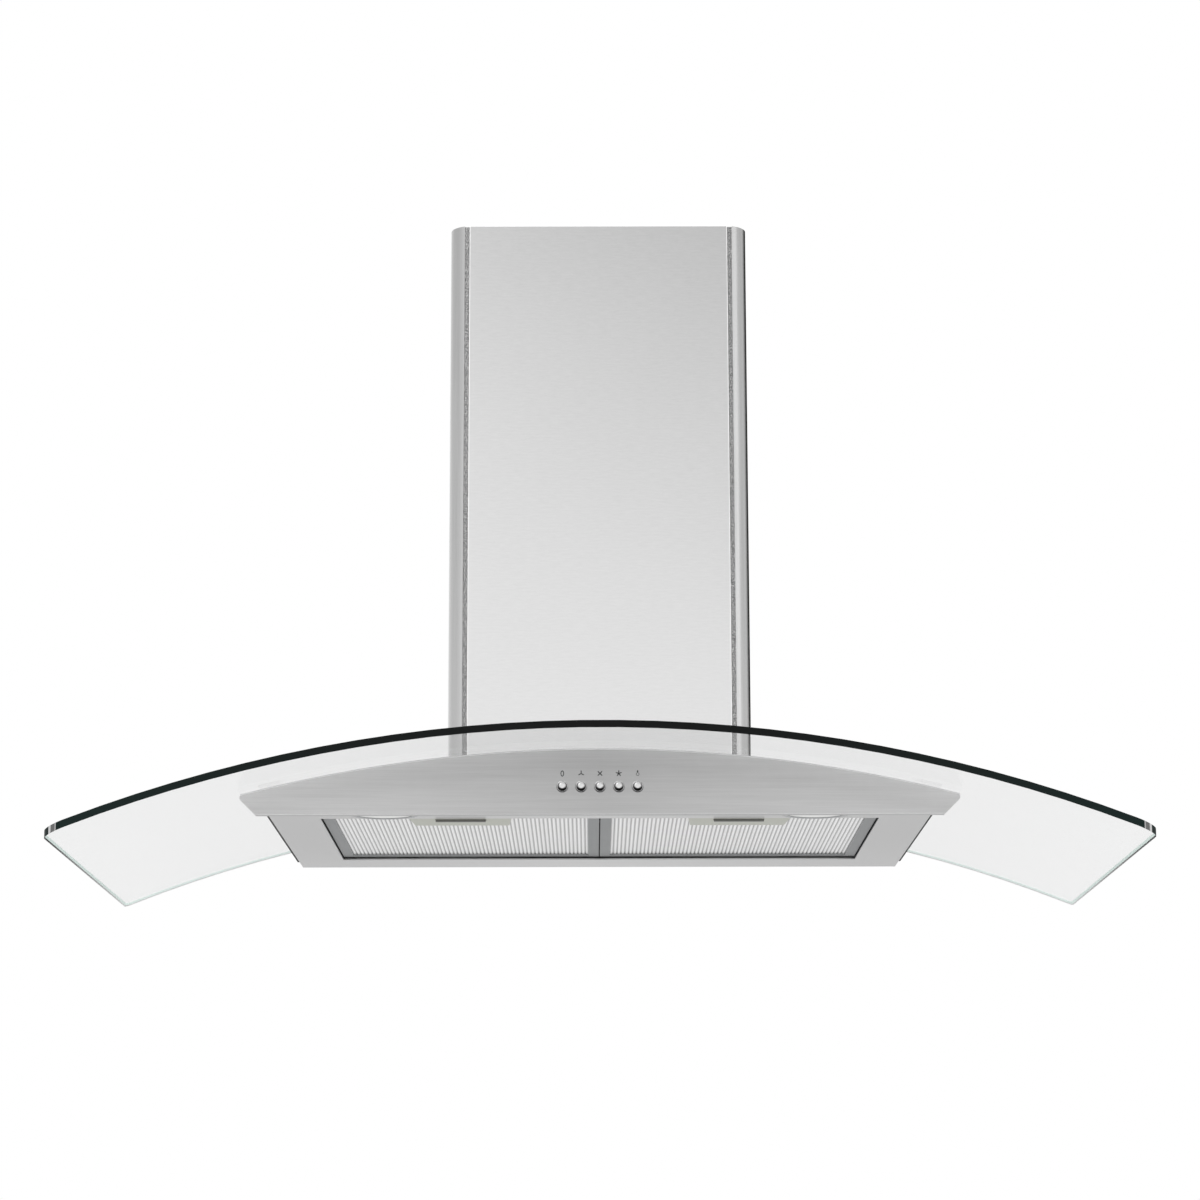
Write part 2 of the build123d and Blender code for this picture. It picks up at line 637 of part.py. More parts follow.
CLAMP_HEAD_Z = BOX_BASE_Z + SHEET
with BuildPart() as clamp_bolts:
    for x, y in CLAMP_POINTS:
        nut_top = arch_z(abs(x) + CLAMP_NUT_RADIUS, BODY_TOP_RADIUS - SHEET) - CLAMP_SEAT_GAP
        tip_z = nut_top - CLAMP_NUT_HEIGHT - CLAMP_TIP
        with BuildSketch(level(tip_z)):
            with Locations((x, y)):
                Circle(CLAMP_RADIUS)
        extrude(amount=CLAMP_HEAD_Z - tip_z)
        with BuildSketch(level(CLAMP_HEAD_Z)):
            with Locations((x, y)):
                RegularPolygon(CLAMP_HEAD_RADIUS, 6)
        extrude(amount=CLAMP_HEAD_HEIGHT)
save(clamp_bolts.part, "clamp_bolts")

with BuildPart() as clamp_nuts:
    for x, y in CLAMP_POINTS:
        nut_top = arch_z(abs(x) + CLAMP_NUT_RADIUS, BODY_TOP_RADIUS - SHEET) - CLAMP_SEAT_GAP
        with BuildSketch(level(nut_top)):
            with Locations((x, y)):
                RegularPolygon(CLAMP_NUT_RADIUS, 6)
                Circle(CLAMP_RADIUS, mode=Mode.SUBTRACT)
        extrude(amount=-CLAMP_NUT_HEIGHT)
save(clamp_nuts.part, "clamp_nuts")

# ---------------------------------------------------------------- scroll, motor, impeller
OUTLET_TOP_Z = BOX_TOP_Z - SHEET


def scroll_outline():
    """Draws the scroll's outline with its outlet in the current sketch."""
    with Locations((SCROLL_Y, SCROLL_Z)):
        Circle(SCROLL_RADIUS)
    Polygon(
        (SCROLL_Y - SCROLL_RADIUS, SCROLL_Z),
        (SCROLL_OUTLET_FRONT_Y, OUTLET_TOP_Z),
        (SCROLL_OUTLET_REAR_Y, OUTLET_TOP_Z),
        (SCROLL_TONGUE_Y, SCROLL_TONGUE_Z),
        (SCROLL_Y, SCROLL_Z),
        align=None,
    )


with BuildPart() as scroll_right:
    with BuildSketch(across(0)):
        scroll_outline()
    extrude(amount=SCROLL_HALF_WIDTH)
    with BuildSketch(across(0)):
        scroll_outline()
        offset(amount=-SCROLL_WALL)
    extrude(amount=SCROLL_HALF_WIDTH - SCROLL_WALL, mode=Mode.SUBTRACT)
    # The outlet is cut through the top wall, from above it down into the hollow.
    with BuildSketch(level(OUTLET_TOP_Z + SCROLL_WALL)):
        with Locations((0, (SCROLL_OUTLET_FRONT_Y + SCROLL_OUTLET_REAR_Y) / 2)):
            Rectangle(
                SCROLL_HALF_WIDTH - SCROLL_WALL,
                SCROLL_OUTLET_REAR_Y
                - SCROLL_OUTLET_FRONT_Y
                - 2 * (SCROLL_WALL + SCROLL_MOUTH_LEDGE),
                align=(Align.MIN, Align.CENTER),
            )
    extrude(amount=-2 * SCROLL_WALL - SCROLL_MOUTH_LEDGE, mode=Mode.SUBTRACT)
    with BuildSketch(across(SCROLL_HALF_WIDTH - SCROLL_WALL)):
        with Locations((SCROLL_Y, SCROLL_Z)):
            Circle(SCROLL_INLET_RADIUS)
            with PolarLocations(BRACKET_SCREW_CIRCLE, BRACKET_ARM_COUNT, BRACKET_FIRST_ANGLE):
                Circle(BRACKET_SCREW_RADIUS)
    extrude(amount=SCROLL_WALL, mode=Mode.SUBTRACT)
    with BuildSketch(level(OUTLET_TOP_Z)):
        with Locations((SCROLL_HALF_WIDTH, (SCROLL_OUTLET_FRONT_Y + SCROLL_OUTLET_REAR_Y) / 2)):
            Rectangle(
                SCROLL_FLANGE,
                SCROLL_OUTLET_REAR_Y - SCROLL_OUTLET_FRONT_Y,
                align=(Align.MIN, Align.CENTER),
            )
        for y in SCROLL_SCREW_YS:
            with Locations((SCROLL_SCREW_X, y)):
                Circle(SCROLL_SCREW_RADIUS, mode=Mode.SUBTRACT)
    extrude(amount=-SCROLL_WALL)
save(scroll_right.part, "scroll_right")

with BuildPart() as scroll_left:
    mirror(scroll_right.part, about=Plane.YZ)
save(scroll_left.part, "scroll_left")

with BuildPart() as scroll_screws:
    for x in (-SCROLL_SCREW_X, SCROLL_SCREW_X):
        for y in SCROLL_SCREW_YS:
            with BuildSketch(level(BOX_TOP_Z)):
                with Locations((x, y)):
                    Circle(SCROLL_SCREW_RADIUS)
            extrude(amount=-SHEET - SCROLL_WALL)
            with BuildSketch(level(OUTLET_TOP_Z - SCROLL_WALL)):
                with Locations((x, y)):
                    Circle(SCROLL_SCREW_HEAD_RADIUS)
            extrude(amount=-SCROLL_SCREW_HEAD)
save(scroll_screws.part, "scroll_screws")

with BuildPart() as motor:
    with BuildSketch(across(-SCROLL_HALF_WIDTH)):
        with Locations((SCROLL_Y, SCROLL_Z)):
            Circle(MOTOR_RADIUS)
    extrude(amount=SCROLL_HALF_WIDTH + MOTOR_END_X)
    fillet(motor.edges().filter_by(GeomType.CIRCLE).sort_by(Axis.X)[-1], radius=MOTOR_ROUND)
    with BuildSketch(across(MOTOR_END_X)):
        with Locations((SCROLL_Y, SCROLL_Z)):
            Circle(MOTOR_NOSE_RADIUS)
    extrude(amount=MOTOR_NOSE_LENGTH)
    with BuildSketch(across(-SCROLL_HALF_WIDTH)):
        with Locations((SCROLL_Y, SCROLL_Z)):
            Circle(SHAFT_RADIUS + SHAFT_GAP)
    extrude(amount=SCROLL_HALF_WIDTH, mode=Mode.SUBTRACT)
save(motor.part, "motor")

with BuildPart() as motor_bracket:
    with BuildSketch(across(-SCROLL_HALF_WIDTH - BRACKET_THICKNESS)):
        with Locations((SCROLL_Y, SCROLL_Z)):
            Circle(BRACKET_RING)
            with PolarLocations(BRACKET_REACH / 2, BRACKET_ARM_COUNT, BRACKET_FIRST_ANGLE):
                Rectangle(BRACKET_REACH, BRACKET_ARM)
            Circle(BRACKET_BORE, mode=Mode.SUBTRACT)
            with PolarLocations(BRACKET_SCREW_CIRCLE, BRACKET_ARM_COUNT, BRACKET_FIRST_ANGLE):
                Circle(BRACKET_SCREW_RADIUS, mode=Mode.SUBTRACT)
    extrude(amount=BRACKET_THICKNESS)
save(motor_bracket.part, "motor_bracket")

with BuildPart() as bracket_screws:
    for face_x, depth, radius in (
        (-SCROLL_HALF_WIDTH - BRACKET_THICKNESS, BRACKET_THICKNESS + SCROLL_WALL, BRACKET_SCREW_RADIUS),
        (-SCROLL_HALF_WIDTH - BRACKET_THICKNESS, -BRACKET_SCREW_HEAD, BRACKET_SCREW_HEAD_RADIUS),
    ):
        with BuildSketch(across(face_x)):
            with Locations((SCROLL_Y, SCROLL_Z)):
                with PolarLocations(BRACKET_SCREW_CIRCLE, BRACKET_ARM_COUNT, BRACKET_FIRST_ANGLE):
                    Circle(radius)
        extrude(amount=depth)
save(bracket_screws.part, "bracket_screws")

with BuildPart() as impeller:
    with BuildSketch(across(-IMPELLER_HALF_WIDTH)):
        with Locations((SCROLL_Y, SCROLL_Z)):
            with PolarLocations(IMPELLER_RADIUS - IMPELLER_RING / 2, BLADE_COUNT):
                Rectangle(IMPELLER_RING, BLADE_THICKNESS, rotation=BLADE_ANGLE)
    extrude(amount=2 * IMPELLER_HALF_WIDTH)
    for x in (-IMPELLER_HALF_WIDTH, IMPELLER_HALF_WIDTH - IMPELLER_RIM):
        with BuildSketch(across(x)):
            with Locations((SCROLL_Y, SCROLL_Z)):
                Circle(IMPELLER_RADIUS)
                Circle(IMPELLER_RADIUS - IMPELLER_RING, mode=Mode.SUBTRACT)
        extrude(amount=IMPELLER_RIM)
    with BuildSketch(across(0)):
        with Locations((SCROLL_Y, SCROLL_Z)):
            Circle(IMPELLER_RADIUS)
    extrude(amount=IMPELLER_RIM)
    with BuildSketch(across(0)):
        with Locations((SCROLL_Y, SCROLL_Z)):
            Circle(HUB_RADIUS)
    extrude(amount=HUB_LENGTH)
    with BuildSketch(across(0)):
        with Locations((SCROLL_Y, SCROLL_Z)):
            Circle(SHAFT_RADIUS)
    extrude(amount=HUB_LENGTH, mode=Mode.SUBTRACT)
save(impeller.part, "impeller")

with BuildPart() as motor_shaft:
    with BuildSketch(across(SHAFT_START_X)):
        with Locations((SCROLL_Y, SCROLL_Z)):
            Circle(SHAFT_RADIUS)
    extrude(amount=HUB_LENGTH - SHAFT_START_X)
save(motor_shaft.part, "motor_shaft")

with BuildPart() as capacitor:
    with BuildSketch(level(CAPACITOR_Z)):
        with Locations((CAPACITOR_X, CAPACITOR_Y)):
            Circle(CAPACITOR_RADIUS)
    extrude(amount=CAPACITOR_LENGTH)
    fillet(capacitor.edges().filter_by(GeomType.CIRCLE), radius=CAPACITOR_ROUND)
save(capacitor.part, "capacitor")

with BuildPart() as capacitor_strap:
    with BuildSketch(level(CAPACITOR_Z + (CAPACITOR_LENGTH - STRAP_HEIGHT) / 2)):
        with Locations((CAPACITOR_X, CAPACITOR_Y)):
            Circle(CAPACITOR_RADIUS + STRAP_THICKNESS)
            Rectangle(
                BOX_HALF_WIDTH - SHEET - CAPACITOR_X,
                2 * (CAPACITOR_RADIUS + STRAP_THICKNESS),
                align=(Align.MIN, Align.CENTER),
            )
            Circle(CAPACITOR_RADIUS, mode=Mode.SUBTRACT)
    extrude(amount=STRAP_HEIGHT)
save(capacitor_strap.part, "capacitor_strap")

# ---------------------------------------------------------------- mains terminal box
with BuildPart() as terminal_box:
    with BuildSketch(level(BOX_TOP_Z)):
        with Locations((TERMINAL_X, TERMINAL_Y)):
            RectangleRounded(TERMINAL_WIDTH, TERMINAL_DEPTH, TERMINAL_CORNER)
    extrude(amount=TERMINAL_HEIGHT)
    with BuildSketch(level(BOX_TOP_Z + TERMINAL_WALL)):
        with Locations((TERMINAL_X, TERMINAL_Y)):
            Rectangle(TERMINAL_WIDTH - 2 * TERMINAL_WALL, TERMINAL_DEPTH - 2 * TERMINAL_WALL)
    extrude(amount=TERMINAL_HEIGHT, mode=Mode.SUBTRACT)
    with BuildSketch(level(BOX_TOP_Z)):
        with Locations((TERMINAL_X, TERMINAL_Y)):
            Circle(WIRE_HOLE_RADIUS)
    extrude(amount=TERMINAL_WALL, mode=Mode.SUBTRACT)
save(terminal_box.part, "terminal_box")

TERMINAL_LID_Z = BOX_TOP_Z + TERMINAL_HEIGHT
with BuildPart() as terminal_lid:
    with BuildSketch(level(TERMINAL_LID_Z)):
        with Locations((TERMINAL_X, TERMINAL_Y)):
            RectangleRounded(TERMINAL_WIDTH, TERMINAL_DEPTH, TERMINAL_CORNER)
            Circle(GLAND_THREAD_RADIUS, mode=Mode.SUBTRACT)
    extrude(amount=TERMINAL_LID)
save(terminal_lid.part, "terminal_lid")

GLAND_SEAT_Z = TERMINAL_LID_Z + TERMINAL_LID
with BuildPart() as cable_gland:
    with BuildSketch(level(GLAND_SEAT_Z - GLAND_THREAD_LENGTH)):
        with Locations((TERMINAL_X, TERMINAL_Y)):
            Circle(GLAND_THREAD_RADIUS)
    extrude(amount=GLAND_THREAD_LENGTH)
    with BuildSketch(level(GLAND_SEAT_Z)):
        with Locations((TERMINAL_X, TERMINAL_Y)):
            RegularPolygon(GLAND_HEX_RADIUS, 6)
    extrude(amount=GLAND_HEX_HEIGHT)
    with BuildSketch(level(GLAND_SEAT_Z + GLAND_HEX_HEIGHT)):
        with Locations((TERMINAL_X, TERMINAL_Y)):
            Circle(GLAND_CAP_RADIUS)
    extrude(amount=GLAND_CAP_HEIGHT, taper=GLAND_CAP_SLOPE)
    with BuildSketch(level(GLAND_SEAT_Z - GLAND_THREAD_LENGTH)):
        with Locations((TERMINAL_X, TERMINAL_Y)):
            Circle(GLAND_BORE_RADIUS)
    extrude(
        amount=GLAND_THREAD_LENGTH + GLAND_HEX_HEIGHT + GLAND_CAP_HEIGHT, mode=Mode.SUBTRACT
    )
save(cable_gland.part, "cable_gland")

# ---------------------------------------------------------------- outlet collar and damper
COLLAR_BORE = COLLAR_RADIUS - COLLAR_WALL
STOP_TOP_Z = DAMPER_Z - DAMPER_THICKNESS / 2 - STOP_GAP
with BuildPart() as outlet_collar:
    with BuildSketch(level(BOX_TOP_Z)):
        with Locations((0, COLLAR_Y)):
            Circle(COLLAR_FLANGE_RADIUS)
            Circle(COLLAR_BORE, mode=Mode.SUBTRACT)
    extrude(amount=COLLAR_FLANGE_THICKNESS)
    with BuildSketch(level(BOX_TOP_Z)):
        with Locations((0, COLLAR_Y)):
            Circle(COLLAR_RADIUS)
            Circle(COLLAR_BORE, mode=Mode.SUBTRACT)
    extrude(amount=COLLAR_HEIGHT)
    with BuildSketch(level(STOP_TOP_Z - STOP_THICKNESS)):
        with Locations((0, COLLAR_Y)):
            Circle(COLLAR_BORE)
            Circle(COLLAR_BORE - STOP_WIDTH, mode=Mode.SUBTRACT)
    extrude(amount=STOP_THICKNESS)
    with BuildSketch(across(-COLLAR_RADIUS)):
        with Locations((COLLAR_Y, DAMPER_Z)):
            Circle(DAMPER_ROD_RADIUS)
    extrude(amount=2 * COLLAR_RADIUS, mode=Mode.SUBTRACT)
save(outlet_collar.part, "outlet_collar")

with BuildPart() as damper_rod:
    with BuildSketch(across(-COLLAR_RADIUS)):
        with Locations((COLLAR_Y, DAMPER_Z)):
            Circle(DAMPER_ROD_RADIUS)
    extrude(amount=2 * COLLAR_RADIUS)
save(damper_rod.part, "damper_rod")


def damper_flap(knuckle_xs, side):
    """Builds one half-round flap on its knuckles, on the given side of the rod (+1 is the wall's)."""
    with BuildPart() as flap:
        with BuildSketch(level(DAMPER_Z - DAMPER_THICKNESS / 2)):
            with Locations((0, COLLAR_Y)):
                Circle(COLLAR_BORE - DAMPER_RIM_GAP)
            with Locations((0, COLLAR_Y + side * (DAMPER_ROOT + COLLAR_BORE))):
                Rectangle(2 * COLLAR_BORE, 2 * COLLAR_BORE, mode=Mode.INTERSECT)
            for x in knuckle_xs:
                with Locations((x, COLLAR_Y + side * DAMPER_ROOT / 2)):
                    Rectangle(KNUCKLE_WIDTH, DAMPER_ROOT + TRIM_SHEET)
        extrude(amount=DAMPER_THICKNESS)
        for x in knuckle_xs:
            with BuildSketch(across(x - KNUCKLE_WIDTH / 2)):
                with Locations((COLLAR_Y, DAMPER_Z)):
                    Circle(KNUCKLE_RADIUS)
            extrude(amount=KNUCKLE_WIDTH)
        with BuildSketch(across(-COLLAR_RADIUS)):
            with Locations((COLLAR_Y, DAMPER_Z)):
                Circle(DAMPER_ROD_RADIUS + DAMPER_ROD_GAP)
        extrude(amount=2 * COLLAR_RADIUS, mode=Mode.SUBTRACT)
    return flap.part


save(damper_flap((-KNUCKLE_PITCH, KNUCKLE_PITCH), -1), "damper_flap_front")
save(damper_flap((-2 * KNUCKLE_PITCH, 0, 2 * KNUCKLE_PITCH), 1), "damper_flap_rear")

# ---------------------------------------------------------------- chimney
FACE_Y = -CHIMNEY_DEPTH
GROOVE_FLOOR_Y = FACE_Y + FACE_RETURN
CORNER_CENTRE_X = CHIMNEY_HALF_WIDTH - CHIMNEY_CORNER
CORNER_CENTRE_Y = FACE_Y + CHIMNEY_CORNER


def corner_y(x, radius):
    """Where the corner's arc of that radius lies at x."""
    return CORNER_CENTRE_Y - sqrt(radius**2 - (x - CORNER_CENTRE_X) ** 2)


with BuildPart() as chimney_front:
    with BuildSketch(level(CHIMNEY_BLANK_Z)):
        with Locations((0, FACE_Y)):
            Rectangle(2 * FACE_HALF_WIDTH, TRIM_SHEET, align=(Align.CENTER, Align.MIN))
        for x in (-1, 1):
            with Locations((x * (FACE_HALF_WIDTH - TRIM_SHEET / 2), FACE_Y)):
                Rectangle(TRIM_SHEET, FACE_RETURN, align=(Align.CENTER, Align.MIN))
    extrude(amount=CHIMNEY_TOP_Z - CHIMNEY_BLANK_Z)
    trim_to_glass(CHIMNEY_GLASS_GAP)
save(chimney_front.part, "chimney_front")

with BuildPart() as chimney_side_right:
    inner = CHIMNEY_CORNER - TRIM_SHEET
    step_x = GROOVE_OUTER_X + TRIM_SHEET
    diagonal = sqrt(0.5)
    with BuildSketch(level(CHIMNEY_BLANK_Z)):
        with BuildLine():
            Polyline(
                (CORNER_CENTRE_X + inner, CORNER_CENTRE_Y),
                (CORNER_CENTRE_X + inner, -TRIM_SHEET),
                (REAR_FLANGE_X, -TRIM_SHEET),
                (REAR_FLANGE_X, 0),
                (CHIMNEY_HALF_WIDTH, 0),
                (CHIMNEY_HALF_WIDTH, CORNER_CENTRE_Y),
            )
            ThreePointArc(
                (CHIMNEY_HALF_WIDTH, CORNER_CENTRE_Y),
                (
                    CORNER_CENTRE_X + CHIMNEY_CORNER * diagonal,
                    CORNER_CENTRE_Y - CHIMNEY_CORNER * diagonal,
                ),
                (GROOVE_OUTER_X, corner_y(GROOVE_OUTER_X, CHIMNEY_CORNER)),
            )
            Polyline(
                (GROOVE_OUTER_X, corner_y(GROOVE_OUTER_X, CHIMNEY_CORNER)),
                (GROOVE_OUTER_X, GROOVE_FLOOR_Y),
                (GROOVE_TONGUE_X, GROOVE_FLOOR_Y),
                (GROOVE_TONGUE_X, GROOVE_FLOOR_Y + TRIM_SHEET),
                (step_x, GROOVE_FLOOR_Y + TRIM_SHEET),
                (step_x, corner_y(step_x, inner)),
            )
            ThreePointArc(
                (step_x, corner_y(step_x, inner)),
                (CORNER_CENTRE_X + inner * diagonal, CORNER_CENTRE_Y - inner * diagonal),
                (CORNER_CENTRE_X + inner, CORNER_CENTRE_Y),
            )
        make_face()
    extrude(amount=CHIMNEY_TOP_Z - CHIMNEY_BLANK_Z)
    trim_to_glass(CHIMNEY_GLASS_GAP)
    with BuildSketch(facing(0)):
        for z in COVER_HOLE_ZS:
            with Locations((COVER_HOLE_X, z)):
                Circle(COVER_HOLE_RADIUS)
    extrude(amount=TRIM_SHEET, mode=Mode.SUBTRACT)
    # A foot stands on the blower box's flange and is screwed to it.
    with BuildSketch(level(BOX_BASE_Z + SHEET)):
        with Locations((COVER_TAB_X, COVER_TAB_Y)):
            Rectangle(
                CORNER_CENTRE_X + inner - COVER_TAB_X,
                COVER_TAB_WIDTH,
                align=(Align.MIN, Align.CENTER),
            )
        with Locations((COVER_SCREW_X, COVER_TAB_Y)):
            Circle(COVER_SCREW_RADIUS, mode=Mode.SUBTRACT)
    extrude(amount=TRIM_SHEET)
save(chimney_side_right.part, "chimney_side_right")

with BuildPart() as chimney_side_left:
    mirror(chimney_side_right.part, about=Plane.YZ)
save(chimney_side_left.part, "chimney_side_left")

with BuildPart() as cover_screws:
    for x in (-COVER_SCREW_X, COVER_SCREW_X):
        with BuildSketch(level(BOX_BASE_Z)):
            with Locations((x, COVER_TAB_Y)):
                Circle(COVER_SCREW_RADIUS)
        extrude(amount=SHEET + TRIM_SHEET)
        with BuildSketch(level(BOX_BASE_Z + SHEET + TRIM_SHEET)):
            with Locations((x, COVER_TAB_Y)):
                Circle(COVER_SCREW_HEAD_RADIUS)
        extrude(amount=COVER_SCREW_HEAD)
save(cover_screws.part, "cover_screws")

# Pads on the lower cover's inside guide the upper cover, at the sides and at the front.
with BuildPart() as cover_glides:
    for s in (-1, 1):
        pad_x = UPPER_HALF_WIDTH + RUN_GAP
        pad_thickness = CHIMNEY_HALF_WIDTH - TRIM_SHEET - pad_x
        for z in GLIDE_ZS:
            with BuildSketch(level(z)):
                with Locations((s * (pad_x + pad_thickness / 2), COVER_TAB_Y)):
                    Rectangle(pad_thickness, GLIDE_WIDTH)
            extrude(amount=GLIDE_HEIGHT)
        with BuildSketch(level(GLIDE_ZS[-1])):
            with Locations((s * GLIDE_FRONT_X, GROOVE_FLOOR_Y + TRIM_SHEET)):
                Rectangle(
                    GLIDE_FRONT_WIDTH,
                    UPPER_FRONT_Y - RUN_GAP - GROOVE_FLOOR_Y - TRIM_SHEET,
                    align=(Align.CENTER, Align.MIN),
                )
        extrude(amount=GLIDE_HEIGHT)
save(cover_glides.part, "cover_glides")

with BuildPart() as upper_cover:
    depth = UPPER_REAR_Y - UPPER_FRONT_Y
    blank = depth + UPPER_CORNER  # the rounded rear end is cut off
    with BuildSketch(level(UPPER_BASE_Z)):
        with Locations((0, UPPER_FRONT_Y + blank / 2)):
            RectangleRounded(2 * UPPER_HALF_WIDTH, blank, UPPER_CORNER)
            RectangleRounded(
                2 * (UPPER_HALF_WIDTH - TRIM_SHEET),
                blank - 2 * TRIM_SHEET,
                UPPER_CORNER - TRIM_SHEET,
                mode=Mode.SUBTRACT,
            )
        with Locations((0, UPPER_REAR_Y)):
            Rectangle(
                2 * UPPER_HALF_WIDTH, blank, align=(Align.CENTER, Align.MIN), mode=Mode.SUBTRACT
            )
    extrude(amount=UPPER_TOP_Z - UPPER_BASE_Z)
    with BuildSketch(across(-UPPER_HALF_WIDTH)):
        for i in range(VENT_COUNT):
            with Locations((VENT_Y, VENT_TOP_Z - i * VENT_PITCH)):
                SlotOverall(VENT_LENGTH, VENT_HEIGHT)
    extrude(amount=2 * UPPER_HALF_WIDTH, mode=Mode.SUBTRACT)
save(upper_cover.part, "upper_cover")

UPPER_STRAP_Z = STRAP_LOW_Z + UPPER_STRAP_HEIGHT / 2
TAB_OUTER_X = UPPER_HALF_WIDTH - TRIM_SHEET
with BuildPart() as upper_bracket:
    with BuildSketch(level(STRAP_LOW_Z)):
        with Locations((0, -UPPER_STRAP_STANDOFF)):
            Rectangle(2 * TAB_OUTER_X, UPPER_STRAP_THICKNESS, align=(Align.CENTER, Align.MAX))
        for x in (-1, 1):
            with Locations((x * (TAB_OUTER_X - UPPER_STRAP_THICKNESS / 2), -UPPER_STRAP_STANDOFF)):
                Rectangle(
                    UPPER_STRAP_THICKNESS, UPPER_TAB_DEPTH, align=(Align.CENTER, Align.MAX)
                )
    extrude(amount=UPPER_STRAP_HEIGHT)
    with BuildSketch(facing(0)):
        with Locations((-PAD_X, UPPER_STRAP_Z), (PAD_X, UPPER_STRAP_Z)):
            Circle(PAD_RADIUS)
    extrude(amount=UPPER_STRAP_STANDOFF)
    with BuildSketch(facing(0)):
        with Locations((-PAD_X, UPPER_STRAP_Z), (PAD_X, UPPER_STRAP_Z)):
            Circle(PAD_HOLE_RADIUS)
    extrude(amount=UPPER_STRAP_STANDOFF + UPPER_STRAP_THICKNESS, mode=Mode.SUBTRACT)
save(upper_bracket.part, "upper_bracket")

# ---------------------------------------------------------------- lamps
BARREL_BORE = LAMP_BARREL_RADIUS - LAMP_BARREL_WALL
with BuildPart() as lamp_bezel_right:
    with BuildSketch(level(-LAMP_RIM_DROP)):
        with Locations((LAMP_X, LAMP_Y)):
            Circle(LAMP_RIM_RADIUS)
            Circle(LAMP_WINDOW_RADIUS, mode=Mode.SUBTRACT)
    extrude(amount=LAMP_RIM_DROP)
    rim = lamp_bezel_right.edges().filter_by(GeomType.CIRCLE).group_by(Axis.Z)[0]
    fillet(rim.sort_by(SortBy.LENGTH)[-1], radius=LAMP_RIM_ROUND)
    with BuildSketch(level(0)):
        with Locations((LAMP_X, LAMP_Y)):
            Circle(LAMP_BARREL_RADIUS)
            Circle(BARREL_BORE, mode=Mode.SUBTRACT)
    extrude(amount=LAMP_BARREL_HEIGHT)
save(lamp_bezel_right.part, "lamp_bezel_right")

with BuildPart() as lamp_bezel_left:
    mirror(lamp_bezel_right.part, about=Plane.YZ)
save(lamp_bezel_left.part, "lamp_bezel_left")

with BuildPart() as lamp_lens_right:
    with BuildSketch(level(-LENS_DROP)):
        with Locations((LAMP_X, LAMP_Y)):
            Circle(LAMP_WINDOW_RADIUS - LENS_GAP)
    extrude(amount=LENS_DROP)
    with BuildSketch(level(0)):
        with Locations((LAMP_X, LAMP_Y)):
            Circle(BARREL_BORE - LENS_GAP)
    extrude(amount=LENS_SHOULDER)
save(lamp_lens_right.part, "lamp_lens_right")

with BuildPart() as lamp_lens_left:
    mirror(lamp_lens_right.part, about=Plane.YZ)
save(lamp_lens_left.part, "lamp_lens_left")

with BuildPart() as lamp_module_right:
    with BuildSketch(level(LAMP_BOARD_Z)):
        with Locations((LAMP_X, LAMP_Y)):
            Circle(BARREL_BORE - LENS_GAP)
    extrude(amount=LAMP_BARREL_HEIGHT - LAMP_BOARD_Z)
    with BuildSketch(level(LAMP_BARREL_HEIGHT)):
        with Locations((LAMP_X, LAMP_Y)):
            Circle(LAMP_BARREL_RADIUS)
    extrude(amount=LAMP_CAP_THICKNESS)
    with BuildSketch(level(LAMP_BOARD_Z)):
        with Locations((LAMP_X, LAMP_Y)):
            with PolarLocations(LED_RING_RADIUS, LED_COUNT):
                Rectangle(LED_SIZE, LED_SIZE)
    extrude(amount=-LED_HEIGHT)
save(lamp_module_right.part, "lamp_module_right")

with BuildPart() as lamp_module_left:
    mirror(lamp_module_right.part, about=Plane.YZ)
save(lamp_module_left.part, "lamp_module_left")

with BuildPart() as lamp_springs:
    for lamp_x in (-LAMP_X, LAMP_X):
        for s in (-1, 1):
            root_x = lamp_x + s * LAMP_BARREL_RADIUS
            top_z = LAMP_BARREL_HEIGHT - LAMP_SPRING_THICKNESS
            with BuildSketch(facing(LAMP_Y + LAMP_SPRING_WIDTH / 2)):
                with BuildLine():
                    Polyline(
                        (root_x, top_z - LAMP_SPRING_THICKNESS),
                        (root_x, top_z + LAMP_SPRING_THICKNESS),
                        (root_x + s * LAMP_SPRING_REACH, SHEET + LAMP_SPRING_THICKNESS),
                        (root_x + s * LAMP_SPRING_REACH, SHEET),
                        (root_x + s * (LAMP_SPRING_REACH - LAMP_SPRING_THICKNESS), SHEET),
                        close=True,
                    )
                make_face()
            extrude(amount=LAMP_SPRING_WIDTH)
save(lamp_springs.part, "lamp_springs")

# ---------------------------------------------------------------- buttons and switches
with BuildPart() as button_bezels:
    for x in BUTTON_XS:
        with BuildSketch(facing(PANEL_FRONT_Y)):
            with Locations((x, BUTTON_Z)):
                Circle(BEZEL_RADIUS)
        extrude(amount=BEZEL_PROUD)
        with BuildSketch(facing(BODY_FRONT_Y)):
            with Locations((x, BUTTON_Z)):
                Circle(BEZEL_BARREL_RADIUS)
        extrude(amount=TRIM_SHEET)
        with BuildSketch(facing(BODY_FRONT_Y)):
            with Locations((x, BUTTON_Z)):
                Circle(BUTTON_RADIUS + RUN_GAP)
        extrude(amount=TRIM_SHEET + BEZEL_PROUD, mode=Mode.SUBTRACT)
    front_rims = button_bezels.edges().filter_by(GeomType.CIRCLE).group_by(Axis.Y)[0]
    fillet(front_rims.group_by(SortBy.LENGTH)[-1], radius=BEZEL_ROUND)
save(button_bezels.part, "button_bezels")

